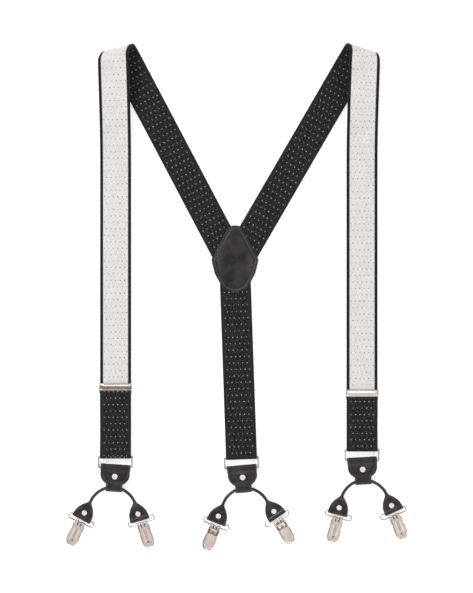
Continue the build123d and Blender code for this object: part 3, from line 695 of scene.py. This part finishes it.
class Path(list):
    """A side view as (y, z) points; lines and eases go on from the last point."""

    def line(self, y, z, step=WEB_STEP):
        start_y, start_z = self[-1]
        count = max(int(hypot(y - start_y, z - start_z) / step), 1)
        for k in range(1, count + 1):
            t = k / count
            self.append((mix(start_y, y, t), mix(start_z, z, t)))

    def ease(self, y, z, steps=12, start=None):
        start_y, start_z = start or self[-1]
        for k in range(1, steps + 1):
            t = k / steps
            self.append((mix(start_y, y, t), mix(start_z, z, smooth(t))))

    def arc(self, y, z, radius, start, end, steps=16):
        for k in range(steps + 1):
            angle = radians(mix(start, end, k / steps))
            self.append((y + radius * cos(angle), z + radius * sin(angle)))


# ---------------------------------------------------------------- webbing
def arm_point(front, y):
    heading = radians(front["heading"])
    reach = (y - front["meet_y"] * MM) / cos(heading)
    return Vector((front["side"] * sin(heading) * reach, y, 0))


def front_stations(front):
    """Stations from under the patch, round the shoulder fold and down to the adjuster."""
    tilt = radians(front["fold_axis"])
    heading = radians(front["heading"])
    axis = Vector((cos(tilt), sin(tilt), 0))
    beyond = Vector((-sin(tilt), cos(tilt), 0))
    side = front["side"]
    run = Vector((side * sin(heading), cos(heading), 0))
    square = Vector((run.y, -run.x, 0))
    fold_y = front["fold_y"] * MM
    stations = []
    y = ARM_START_Y
    while y < fold_y - 2 * MM:
        centre = arm_point(front, y)
        centre.z = mix(PATCH_STRAP_Z, FLAT_Z, smooth((y - DRAPE_Y) / DRAPE))
        level = 1 - smooth((y - 30 * MM) / (35 * MM))
        turn = smooth((y - 165 * MM) / (50 * MM))
        across = Vector((1, 0, 0)) * level + square * (1 - level)
        across = (across * (1 - turn) + axis * turn).normalized()
        half = WEB_HALF / abs(across.dot(square))
        low = -half
        high = half
        if side < 0:
            high = min(half, -ARM_GAP - centre.x) if level > 0.99 else half
        else:
            low = max(-half, ARM_GAP - centre.x) if level > 0.99 else -half
        stations.append(Station(centre, across, UP, half, low, high))
        y += WEB_STEP
    start = arm_point(front, fold_y)
    slip = run.dot(axis) / run.dot(beyond)
    half = WEB_HALF / run.dot(beyond)
    steps = 24
    for k in range(steps + 1):
        angle = pi * k / steps
        drift = front["drift"] * MM * smooth((angle - pi / 2) / (pi / 2))
        centre = start + beyond * (FOLD_RADIUS * sin(angle))
        centre += axis * (slip * FOLD_RADIUS * angle + drift)
        centre.z = FLAT_Z + FOLD_RADIUS * (1 - cos(angle))
        normal = UP * cos(angle) - beyond * sin(angle)
        stations.append(Station(centre, axis, normal, half))
    leave = stations[-1].centre.copy()
    adjuster_y = front["adjuster_y"] * MM
    run_x = front["run_x"] * MM
    settle = leave.x - run_x
    y = leave.y - WEB_STEP
    last_z = leave.z
    while y > adjuster_y:
        drop = leave.y - y
        away = max(1 - drop / FRONT_SETTLE, 0)
        slope = -2 * settle * away / FRONT_SETTLE
        z = mix(FLAT_Z + 2 * FOLD_RADIUS, ADJ_STRAP_Z, smooth(drop / FRONT_DROP))
        flat = Vector((1, slope, 0)).normalized()
        turn = smooth(drop / (50 * MM))
        across = (axis * (1 - turn) + flat * turn).normalized()
        fall = (last_z - z) / WEB_STEP
        normal = Vector((0, fall, -1)).normalized()
        centre = Vector((run_x + settle * away**2, y, z))
        stations.append(Station(centre, across, normal, WEB_HALF / abs(across.dot(flat))))
        last_z = z
        y -= WEB_STEP
    centre = Vector((run_x, adjuster_y, ADJ_STRAP_Z))
    stations.append(Station(centre, Vector((1, 0, 0)), -UP, WEB_HALF))
    return stations


WAVE = 0.45 * MM


def web_wave(seed, first, last):
    """A slight unevenness of soft webbing between two distances along it."""

    def lift(station, u, run):
        slow = noise.noise(Vector((run * 22, seed, 0)))
        edge = noise.noise(Vector((run * 45, seed + 7 + (1 if u > 0 else -1), 0)))
        calm = smooth((run - first) / (30 * MM)) * smooth((last - run) / (30 * MM))
        return calm * WAVE * abs(0.5 * slow + 0.8 * edge * u * u)

    return lift


def lower_paths(front, height):
    """Side views of the run down to the ring and of the run back up to the adjuster."""
    adjuster_y = front["adjuster_y"] * MM
    ring_y = front["ring_y"] * MM
    bar_y = adjuster_y + ADJ_BAR_Y
    top_z = ADJ_BAR_Z + ADJ_BAR_BORE + WEB_THICK / 2
    bar_turn = ADJ_BAR_BORE + WEB_THICK / 2
    down = Path([(adjuster_y, ADJ_STRAP_Z)])
    down.line(ring_y + 20 * MM, ADJ_STRAP_Z)
    down.ease(ring_y + 3 * MM, height - LOOP_RADIUS)
    down.arc(ring_y, height, LOOP_RADIUS, 270, 90)
    up = Path([(ring_y, height + LOOP_RADIUS), (ring_y + 2 * MM, height + LOOP_RADIUS)])
    up.ease(ring_y + 22 * MM, ADJ_TAIL_Z)
    up.line(bar_y - ADJ_TAIL - 14 * MM, ADJ_TAIL_Z)
    up.ease(bar_y - ADJ_TAIL, top_z)
    up.line(bar_y - 0.5 * MM, top_z)
    up.arc(bar_y, ADJ_BAR_Z, bar_turn, 90, -90)
    up.line(bar_y - ADJ_TAIL + 2 * MM, ADJ_TAIL_Z)
    return down, up


def path_length(stations):
    return sum((b.centre - a.centre).length for a, b in zip(stations, stations[1:]))


def make_front_strap(name, front, height):
    stations = front_stations(front)
    length = path_length(stations)
    wave = web_wave(front["side"] * 5, 60 * MM, length - 45 * MM)
    strap = strip(f"{name}_strap_web", stations, WEB_THICK, [OUTER, INNER], lift=wave,
                  start=front["web_start"], true_half=WEB_HALF)
    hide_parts(f"{name}_strap")
    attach(strap, "straps")
    down, up = lower_paths(front, height)
    place = Matrix.Translation((front["run_x"] * MM, 0, 0))
    down_stations = side_stations(down, WEB_HALF, place)
    up_stations = side_stations(up, WEB_HALF, place)
    down_web = strip(f"{name}_run_to_ring", down_stations, WEB_THICK, [OUTER, INNER],
                     start=front["web_start"] + length, true_half=WEB_HALF)
    turn = front["turn_start"] + length + path_length(down_stations)
    up_web = strip(f"{name}_run_back_up", up_stations, WEB_THICK, [OUTER, INNER], start=turn,
                   true_half=WEB_HALF)
    for piece in (down_web, up_web):
        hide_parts(f"{name}_strap_lower")
    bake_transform(down_web)
    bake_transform(up_web)


FLAP_PATH = [
    (4.0, 3.86), (3.8, 4.06), (3.4, 4.26), (2.9, 4.36), (2.3, 4.32), (1.6, 4.08), (0.7, 3.9), (-0.4, 3.84),
    (-1.5, 3.9), (-2.3, 4.08), (-2.9, 4.3), (-3.3, 4.38), (-3.6, 4.3),
]


def add_bar(points, faces, ends, height, depth, sides=12):
    """A rounded bar between two points, height by depth across."""
    a, b = ends
    shape = ((0, 0.8), (0.01, 1.0), (0.99, 1.0), (1, 0.8))
    rows = [(a.lerp(b, t), depth * scale, height * scale) for t, scale in shape]
    add_rod(points, faces, b - a, rows, sides)


FLAP_HALF = 17.5 * MM
FLAP_PIN = (18.4 * MM, 2.8 * MM, 4.3 * MM)
FLAP_RIB = (16.5 * MM, 1.3 * MM, 3.5 * MM)
TOOTH_Z = 3.0 * MM
TOOTH_REACH = 15.8 * MM
TEETH = 16


def make_flap(name, front, material):
    """The adjuster's flap: a curled plate, its hinge pin and the toothed rib beneath it."""
    place = Matrix.Translation((front["run_x"] * MM, front["adjuster_y"] * MM, 0))
    path = [(y * MM, z * MM) for y, z in FLAP_PATH]
    plate = strip(f"{name}_flap_plate", side_stations(path, FLAP_HALF, place), 0.7 * MM, [material], 10)
    points = []
    faces = []
    for (x, y, z), height, depth in ((FLAP_PIN, 0.6, 0.6), (FLAP_RIB, 0.5, 0.4)):
        ends = [place @ Vector((side * x, y, z)) for side in (-1, 1)]
        add_bar(points, faces, ends, height * MM, depth * MM)
    for k in range(TEETH):
        x = mix(-TOOTH_REACH, TOOTH_REACH, k / (TEETH - 1))
        tooth = [place @ Vector((x + step * MM, FLAP_RIB[1], TOOTH_Z)) for step in (-0.5, 0.5)]
        add_bar(points, faces, tooth, 0.35 * MM, 0.35 * MM, 8)
    rod = new_object(f"{name}_flap_pin", points, faces, [ADJUSTER_METAL])
    for piece in (plate, rod):
        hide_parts(f"{name}_adjuster_lever")
        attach(piece, f"{name}_adjuster_flap")


def make_back_strap():
    height = CLUSTERS["back"]["height"] * MM
    ring_y = CLUSTERS["back"]["bar"][1] * MM / cos(radians(BACK_LEAN))
    path = Path([(BACK_START_Y, PATCH_STRAP_Z)])
    path.line(-42 * MM, PATCH_STRAP_Z)
    path.ease(-82 * MM, FLAT_Z)
    path.line(ring_y + 72 * MM, FLAT_Z)
    path.ease(ring_y + 44 * MM, FLAT_Z + LAYER_STEP)
    path.line(ring_y + 24 * MM, FLAT_Z + LAYER_STEP)
    path.ease(ring_y + 3 * MM, height + LOOP_RADIUS)
    path.arc(ring_y, height, LOOP_RADIUS, 90, 270)
    path.ease(ring_y + 16 * MM, FLAT_Z)
    path.line(ring_y + 38 * MM, FLAT_Z)
    place = turn_z(BACK_LEAN, BACK_X)
    stations = side_stations(path, WEB_HALF, place)
    for station in stations:
        station.normal = -station.normal
    wave = web_wave(31, 40 * MM, 120 * MM)
    strap = strip("back_strap_web", stations, WEB_THICK, [OUTER, INNER], lift=wave, true_half=WEB_HALF)
    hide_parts("back_strap")
    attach(strap, "straps")


# ---------------------------------------------------------------- patch
def rounded_line(corners, steps=8):
    """A closed line with each corner (x, y, radius) rounded."""
    line = []
    count = len(corners)
    for k, (x, y, radius) in enumerate(corners):
        here = Vector((x, y))
        before = Vector(corners[k - 1][:2])
        after = Vector(corners[(k + 1) % count][:2])
        a = (before - here).normalized()
        b = (after - here).normalized()
        half = acos(max(min(a.dot(b), 1), -1)) / 2
        cut = min(radius / max(sin(half) / cos(half), 1e-3), 0.48 * min((before - here).length,
                                                                      (after - here).length))
        for j in range(steps + 1):
            t = j / steps
            start = here + a * cut
            end = here + b * cut
            line.append(start * (1 - t) ** 2 + here * 2 * t * (1 - t) + end * t**2)
    return line


def even_line(line, step):
    """The same closed line with points a step apart."""
    closed = line + line[:1]
    marks = [0.0]
    for a, b in zip(closed, closed[1:]):
        marks.append(marks[-1] + (b - a).length)
    count = int(marks[-1] / step)
    result = []
    k = 0
    for j in range(count):
        at = marks[-1] * j / count
        while marks[k + 1] < at:
            k += 1
        part = (at - marks[k]) / max(marks[k + 1] - marks[k], 1e-12)
        result.append(closed[k].lerp(closed[k + 1], part))
    return result


def patch_corners():
    half = [
        (3.8, 39.0, 12), (7.9, 36.2, 8), (26.8, 0.4, 4.5), (22.8, -15.8, 16), (13.2, -32.8, 7),
        (0, -37.9, 22),
    ]
    right = [(x * MM, y * MM, r * MM) for x, y, r in half]
    left = [(-x, y, r) for x, y, r in right[:-1]]
    return right + left[::-1]


def inward(line, offset):
    """The closed line moved inward, its points kept in step."""
    count = len(line)
    moved = []
    for k, here in enumerate(line):
        run = (line[(k + 2) % count] - line[k - 2]).normalized()
        normal = Vector((run.y, -run.x))
        moved.append(here + normal * offset)
    return moved


STITCH_INSET = 3.4 * MM


def make_patch_layer(name, node, low, high, sign, stitched):
    """A leather piece with a rounded edge, a stitched groove and a slight dome."""
    line = even_line(rounded_line(patch_corners()), 1.1 * MM)
    count = len(line)
    thick = high - low
    face = high if sign > 0 else low
    rings = []
    edge_round = 0.45 * MM
    for k in range(7):
        angle = pi * k / 6 - pi / 2
        offset = edge_round * (1 - cos(angle))
        rings.append((offset, (low + high) / 2 + sin(angle) * thick / 2))
    if sign < 0:
        rings = [(offset, low + high - z) for offset, z in rings]
    profile = [(1.0, 0.06), (1.8, 0.08), (2.6, 0.03), (3.0, -0.10), (3.4, -0.2), (3.8, -0.10),
               (4.2, 0.04), (4.7, 0.10)]
    for offset, rise in profile:
        rings.append((offset * MM, face + sign * rise * MM * (1 if stitched else 0.4)))
    points = []
    margins = []
    for offset, z in rings:
        points += [(p.x, p.y, z) for p in inward(line, offset)]
        margins += [(offset, 0.0)] * count
    inner = inward(line, profile[-1][0] * MM)
    domes = [0.82, 0.62, 0.42, 0.24, 0.1]
    for k in domes:
        margins += [(profile[-1][0] * MM + (1 - k) * 20 * MM, 0.0)] * count
        for p in inner:
            rise = 0.1 + 0.55 * (1 - k**2)
            drift = 0.10 * noise.noise(Vector((p.x * k * 90, p.y * k * 90, 2)))
            points.append((p.x * k, p.y * k, face + sign * MM * (rise + drift) * (1 if stitched else 0.1)))
    total = len(rings) + len(domes)
    faces = ring_faces(total, count)
    faces += [list(range((total - 1) * count, total * count)), list(range(count))[::-1]]
    if sign > 0:
        faces = [face_[::-1] for face_ in faces]
    material = LEATHER_PATCH if stitched else LEATHER_UNDER
    made = new_object(name, points, faces, [material], None, {"edge": margins})
    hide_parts(node)
    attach(made, "straps")
    return made


THREAD_SIDES = 7
THREAD_STEPS = 7


def add_stitch(points, faces, a, b, radius, arch):
    """A short thread from a to b that rises in the middle and dives at both ends."""
    rows = []
    for k in range(THREAD_STEPS + 1):
        t = k / THREAD_STEPS
        swell = max(sin(pi * t), 0.0)
        centre = a.lerp(b, t) + UP * (arch * swell**0.6 - arch)
        fat = radius * (0.55 + 0.45 * swell**0.5)
        rows.append((centre, fat, fat))
    add_rod(points, faces, b - a, rows, THREAD_SIDES)


def make_patch_stitching(face_z):
    line = even_line(rounded_line(patch_corners()), 0.5 * MM)
    seam = even_line(inward(line, STITCH_INSET), 3.0 * MM)
    points = []
    faces = []
    count = len(seam)
    for k in range(count):
        here = seam[k]
        after = seam[(k + 1) % count]
        ends = [(*here.lerp(after, t), face_z + 0.12 * MM) for t in (0.12, 0.88)]
        add_stitch(points, faces, Vector(ends[0]), Vector(ends[1]), 0.3 * MM, 0.3 * MM)
    made = new_object("patch_thread", points, faces, [THREAD])
    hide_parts("patch_stitching")
    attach(made, "straps")


# ---------------------------------------------------------------- leather tabs and runners
def table_value(table, y):
    """A smooth value from (y, value) pairs in falling order of y."""
    if y >= table[0][0]:
        return table[0][1]
    for (y0, v0), (y1, v1) in zip(table, table[1:]):
        if y >= y1:
            t = (y0 - y) / (y0 - y1)
            return mix(v0, v1, t)
    return table[-1][1]


def cluster_places(cluster):
    x, y = cluster["bar"]
    height = cluster["height"] * MM
    turn = Matrix.Rotation(pi, 4, "Y") if cluster["flipped"] else Matrix.Identity(4)
    ring = turn_z(cluster["ring_yaw"], x * MM, y * MM, height)
    lower = ring @ Vector((0, -RING_PITCH, 0))
    tab = Matrix.Translation(lower) @ turn_z(cluster["tab_yaw"])
    centre = tab @ Vector((0, -TAB_DROP - ARC_RADIUS, 0))
    runner = Matrix.Translation(centre) @ turn_z(cluster["runner_yaw"])
    clips = []
    pitch = 0 if cluster["flipped"] else BACK_PITCH
    facts = zip((-1, 1), cluster["end_leans"], cluster["ring_leans"], cluster["shifts"])
    for side, end_lean, ring_lean, shift in facts:
        seat = runner @ end_place(side, end_lean - cluster["runner_yaw"])
        wire = Matrix.Translation(seat @ Vector((shift * MM, 0, 0))) @ turn_z(ring_lean)
        clips.append(wire @ turn_z(0, 0, -WIRE_PITCH) @ Matrix.Rotation(radians(pitch), 4, "X") @ turn)
    return tab @ turn, runner @ turn, clips


LONG_LEAF = [
    (4.75, 17.0), (-2.0, 16.85), (-4.25, 16.7), (-6.5, 16.25), (-8.25, 15.6), (-11.25, 14.0),
    (-14.25, 12.0), (-16.75, 10.2), (-19.25, 9.25), (-22.0, 9.2), (-30.5, 9.2),
]
SHORT_LEAF = [
    (4.75, 17.0), (-5.0, 16.8), (-9.0, 16.6), (-12.0, 15.9), (-14.5, 14.6), (-16.5, 12.9),
    (-18.2, 10.9), (-19.6, 8.4), (-20.6, 4.8),
]


def leaf_half(table, y):
    """The half width of a leaf at y, with the table's corners softened."""
    rows = [(at * MM, half * MM) for at, half in table]
    return sum(table_value(rows, y + k * 0.4 * MM) for k in (-2, -1, 0, 1, 2)) / 5


def make_runner_tab(name, place):
    """A folded leather tab: short leaf, round the ring, long leaf, round the cord, back inside."""
    bore = TAB_BORE + LEATHER / 2
    cord_turn = CORD_BORE + LEATHER / 2
    cord_y = -TAB_DROP
    rise = [
        (-20.6, 2.85), (-20.3, 2.74), (-19.9, 2.56), (-19.3, 2.28), (-18.6, 1.9), (-17.5, 1.25),
        (-16.4, 0.65), (-15.4, 0.22), (-14.4, 0.0),
    ]
    path = Path((y * MM, TAB_LAYER + z * MM) for y, z in rise)
    path.line(-7.0 * MM, TAB_LAYER, 1 * MM)
    leaf_count = len(path)
    path.ease(-TAB_SLACK - 0.4 * MM, bore, 8)
    path.arc(TAB_SLACK, 0, bore, 90, -90)
    path.append((-TAB_SLACK - 0.4 * MM, -bore))
    path.ease(-7.0 * MM, -TAB_LAYER, 8)
    path.line(-13.5 * MM, -TAB_LAYER, 1 * MM)
    path.ease(cord_y + 0.5 * MM, -cord_turn, 10)
    path.arc(cord_y - CORD_SAG, 0, cord_turn, 270, 90, 20)
    path.ease(-14.6 * MM, 0.0, 10, (cord_y + 0.6 * MM, cord_turn))
    inner_from = len(path)
    path.line(-6.5 * MM, 0.0, 1 * MM)

    def half(k, y):
        if k < leaf_count:
            return leaf_half(SHORT_LEAF, y)
        if k >= inner_from:
            return leaf_half(LONG_LEAF, y) - 1.2 * MM
        return leaf_half(LONG_LEAF, y)

    stations = side_stations(path, half, place)
    rivet = place @ Vector((0, -RIVET_DROP, 0))

    def lift(station, u, run):
        spot = station.centre + station.across * (u * station.half)
        near = hypot(spot.x - rivet.x, spot.y - rivet.y)
        outward = 1 if abs(spot.z - rivet.z) > 0.7 * MM else 0
        puff = 0.35 * MM * (1 - u * u) * smooth((near / MM - 3.2) / 5) * outward
        grain = 0.10 * MM * noise.noise(spot * 160)
        side = 1 if station.normal.dot((place.to_3x3() @ UP)) * (spot.z - rivet.z) >= 0 else -1
        return puff * side * 0.6 + grain

    made = strip(f"{name}_tab_leather", stations, LEATHER, [LEATHER_DARK, LEATHER_BACK], 18, lift)
    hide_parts(f"{name}_runner_tab")
    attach(made, f"{name}_tab")


def end_half(y):
    rows = [
        (19.8, 1.8), (18.4, 2.35), (16.8, 3.6), (15.2, 5.2), (13.6, 6.6), (12.0, 7.6), (9.0, 9.3),
        (6.0, 10.4), (2.0, 11.0), (-4.0, 11.2),
    ]
    return leaf_half(rows, min(y, 19.0 * MM)) if y < 19.4 * MM else CORD_RADIUS


def end_place(side, lean):
    """Where a flat end folds round its wire ring, in the frame of the runner's arc."""
    cord_end = Vector((side * ARC_RADIUS * sin(radians(ARC_HALF)),
                       ARC_RADIUS * cos(radians(ARC_HALF)), 0))
    angle = radians(lean)
    seat = cord_end + Vector((sin(angle), -cos(angle), 0)) * END_REACH
    return Matrix.Translation(seat) @ turn_z(lean)


def end_loft_stations(lean, side):
    """From the folded-back leaf's edge, round the wire ring, up the flat end to the cord."""
    bore = END_BORE + END_LEATHER / 2
    path = Path([(END_LEAF, -END_LAYER)])
    path.line(2.6 * MM, -END_LAYER, 0.9 * MM)
    path.ease(END_SLACK - 0.3 * MM, -bore, 6)
    path.arc(-END_SLACK, 0, bore, 270, 90)
    path.ease(2.6 * MM, END_LAYER, 6, (END_SLACK - 0.3 * MM, bore))
    path.line(11.5 * MM, END_LAYER, 0.9 * MM)
    for k in range(1, 13):
        t = k / 12
        path.append((mix(11.5 * MM, END_REACH, t), END_LAYER * (1 - smooth(t))))
    leaf_rows = 14
    result = []
    for k, (y, z) in enumerate(path):
        a = Vector(path[max(k - 1, 0)])
        b = Vector(path[min(k + 1, len(path) - 1)])
        run = (b - a).normalized()
        round_part = smooth((y - 11.5 * MM) / (END_REACH - 11.5 * MM)) if k > 40 else 0.0
        half = end_half(y)
        if k < leaf_rows:
            arch = max(0.0, (y - 4 * MM) / (END_LEAF - 4 * MM))
            half = (half - 1.0 * MM) * max(1 - arch**3.2, 0.12) ** 0.7
        thick = mix(END_LEATHER / 2, CORD_RADIUS, round_part)
        result.append((y, z, run, half, thick, round_part))
    return result, end_place(side, lean)


def section_points(half, thick, round_part, count=36):
    """A closed section that is a flat strip at 0 and a rolled cord with a seam at 1."""
    power = mix(0.28, 1.0, round_part)
    result = []
    for k in range(count):
        angle = 2 * pi * k / count
        c = cos(angle)
        s = sin(angle)
        x = half * abs(c) ** power * (1 if c >= 0 else -1)
        z = thick * abs(s) ** mix(0.35, 1.0, round_part) * (1 if s >= 0 else -1)
        result.append((x, z, angle))
    return result


def make_runner(name, place, leans):
    """One leather piece: flat folded ends that gather into a rolled, seamed cord."""
    rows = []
    for side, lean in ((-1, leans[0]), (1, leans[1])):
        stations, seat = end_loft_stations(lean, side)
        part = []
        for y, z, run, half, thick, round_part in stations:
            centre = seat @ Vector((0, y, z))
            across = seat.to_3x3() @ Vector((1, 0, 0))
            normal = seat.to_3x3() @ Vector((0, -run.y, run.x))
            crease = smooth(1 - abs(y / MM - 14.5) / 6.0) if round_part > 0.01 else 0.0
            part.append((centre, across, normal, half, thick, round_part, crease))
        rows.append(part)
    arc = []
    steps = 40
    for k in range(1, steps):
        angle = radians(mix(-ARC_HALF, ARC_HALF, k / steps))
        centre = Vector((ARC_RADIUS * sin(angle), ARC_RADIUS * cos(angle), 0))
        along = Vector((cos(angle), -sin(angle), 0))
        across = Vector((along.y, -along.x, 0))
        arc.append((centre, across, UP.copy(), CORD_RADIUS, CORD_RADIUS, 1.0, 0.0))
    right = [(c, -a, n, h, t, r, e) for c, a, n, h, t, r, e in rows[1]]
    sequence = rows[0] + arc_turned(arc, rows[0][-1][1]) + right[::-1]
    points = []
    margins = []
    count = 36
    run = 0.0
    last_centre = sequence[0][0]
    for centre, across, normal, half, thick, round_part, crease in sequence:
        run += (centre - last_centre).length
        last_centre = centre
        for x, z, angle in section_points(half, thick, round_part, count):
            margins.append((half - abs(x) + round_part * 6 * MM, run))
            u = x / max(half, 1e-6)
            fold = crease * 0.42 * MM * cos(3.0 * pi * u) * (1 if z > 0 else 0.4)
            seam = -0.35 * MM * round_part * max(0.0, 1 - abs(angle - 1.5 * pi) / 0.35)
            rough = 0.09 * MM * noise.noise((centre + across * x) * 260)
            shrink = 1 + seam / max(thick, 1e-6)
            spot = centre + across * x * (shrink if round_part > 0.5 else 1)
            spot = spot + normal * (z * shrink + fold + rough)
            points.append(place @ spot)
    total = len(sequence)
    faces = ring_faces(total, count)
    faces += [list(range(count))[::-1], list(range((total - 1) * count, total * count))]
    made = new_object(f"{name}_runner_leather", points, faces, [LEATHER_DARK], None, {"edge": margins})
    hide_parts(f"{name}_runner")
    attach(made, f"{name}_rolled_runner")


def arc_turned(arc, first_across):
    """The arc's sections, turned to go on from the first flat end without a twist."""
    result = []
    for centre, across, normal, half, thick, round_part, crease in arc:
        flip = across if across.dot(first_across) > 0 else -across
        first_across = flip
        result.append((centre, flip, normal, half, thick, round_part, crease))
    return result


def runner_leans(cluster):
    leans = [lean - cluster["runner_yaw"] for lean in cluster["end_leans"]]
    if cluster["flipped"]:
        return (-leans[1], -leans[0])
    return tuple(leans)


# ---------------------------------------------------------------- carried-over pieces
def paint_frame_nodes():
    """Materials for the metal, plastic and thread pieces that keep their shape."""
    for name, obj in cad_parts.items():
        if "wire_ring" in name or "strap_ring" in name:
            material = RING_METAL
        elif "rivet" in name:
            material = RIVET_METAL
        elif "pad" in name:
            material = PLASTIC
        elif "clip_" in name:
            material = CLIP_METAL
        elif "adjuster" in name:
            material = ADJUSTER_METAL
        elif "stitching" in name:
            material = THREAD
        elif "strap" in name:
            material = OUTER
        else:
            material = LEATHER_DARK
        if not obj.material_slots:
            obj.data.materials.append(material)
        for held in obj.material_slots:
            held.material = material


def paint_clips(name, places):
    """Each clip's plate and lever get the pressed pattern in the clip's own frame."""
    for side, place in zip(("left", "right"), places):
        for part in ("back_plate", "lever"):
            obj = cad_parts[f"{name}_{side}_clip_{part}"]
            material = clip_material(f"{name} {side} clip {part}", place, part == "lever")
            for held in obj.material_slots:
                held.material = material


# ---------------------------------------------------------------- setting
def make_setting():
    floor_mesh = bpy.data.meshes.new("floor")
    size = 3.0
    corners = [(-size, -size, 0), (size, -size, 0), (size, size, 0), (-size, size, 0)]
    floor_mesh.from_pydata(corners, [], [[0, 1, 2, 3]])
    floor = bpy.data.objects.new("floor", floor_mesh)
    floor.location.z = cad_box[0][2] - 0.3 * MM
    bpy.context.scene.collection.objects.link(floor)
    n = Nodes("pale floor", (0.9, 0.9, 0.9))
    shade = n.noise(n.place(), 3, 2, 0.5)
    n.set(Base_Color=n.blend(shade, grey(0.91), grey(0.94)), Roughness=0.9, Specular_IOR_Level=0.1)
    n.set(Emission_Color=grey(1.0), Emission_Strength=0.45)
    floor_mesh.materials.append(n.material)
    world = bpy.data.worlds.new("studio")
    bpy.context.scene.world = world
    world.use_nodes = True
    tree = world.node_tree
    where = tree.nodes.new("ShaderNodeTexCoord")
    split = tree.nodes.new("ShaderNodeSeparateXYZ")
    height = tree.nodes.new("ShaderNodeMapRange")
    height.interpolation_type = "SMOOTHSTEP"
    for key, value in (("From Min", 0.2), ("From Max", 0.97), ("To Min", 0.62), ("To Max", 0.42)):
        height.inputs[key].default_value = value
    tree.links.new(where.outputs["Generated"], split.inputs[0])
    tree.links.new(split.outputs[2], height.inputs["Value"])
    tree.links.new(height.outputs[0], tree.nodes["Background"].inputs[0])
    lights = [
        ("key", (-1.1, 1.0, 1.6), 0.9, 25),
        ("fill", (1.5, -0.3, 1.4), 1.2, 10),
        ("top", (0.1, -1.4, 1.5), 1.0, 8),
    ]
    for name, spot, size, power in lights:
        data = bpy.data.lights.new(name, "AREA")
        data.shape = "DISK"
        data.size = size
        data.energy = power
        lamp = bpy.data.objects.new(name, data)
        lamp.location = spot
        lamp.rotation_euler = (-Vector(spot)).to_track_quat("-Z", "Y").to_euler()
        bpy.context.scene.collection.objects.link(lamp)
    bpy.context.scene.view_settings.view_transform = "Standard"


VIEW_HEIGHT = 669.5 * MM
VIEW_DISTANCE = 3.0


def make_camera():
    data = bpy.data.cameras.new("camera")
    data.sensor_width = 36
    data.lens = 36 * VIEW_DISTANCE / VIEW_HEIGHT
    data.clip_end = 20
    camera = bpy.data.objects.new("camera", data)
    camera.location = (1.7 * MM, -41.2 * MM, VIEW_DISTANCE)
    bpy.context.scene.collection.objects.link(camera)
    bpy.context.scene.camera = camera


make_camera()
make_setting()
paint_frame_nodes()
for side_name, front_strap in FRONTS.items():
    make_front_strap(side_name, front_strap, CLUSTERS[side_name]["height"] * MM)
    make_flap(side_name, front_strap, FLAPS[side_name])
make_back_strap()
patch_low, patch_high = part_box("patch_front")
back_low, back_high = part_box("patch_backing")
make_patch_layer("patch_outer", "patch_front", patch_low[2], patch_high[2], 1, True)
make_patch_layer("patch_under", "patch_backing", back_low[2], back_high[2], -1, False)
make_patch_stitching(patch_high[2])
for cluster_name, cluster_facts in CLUSTERS.items():
    tab_place, runner_place, clips_at = cluster_places(cluster_facts)
    paint_clips(cluster_name, clips_at)
    make_runner_tab(cluster_name, tab_place)
    make_runner(cluster_name, runner_place, runner_leans(cluster_facts))
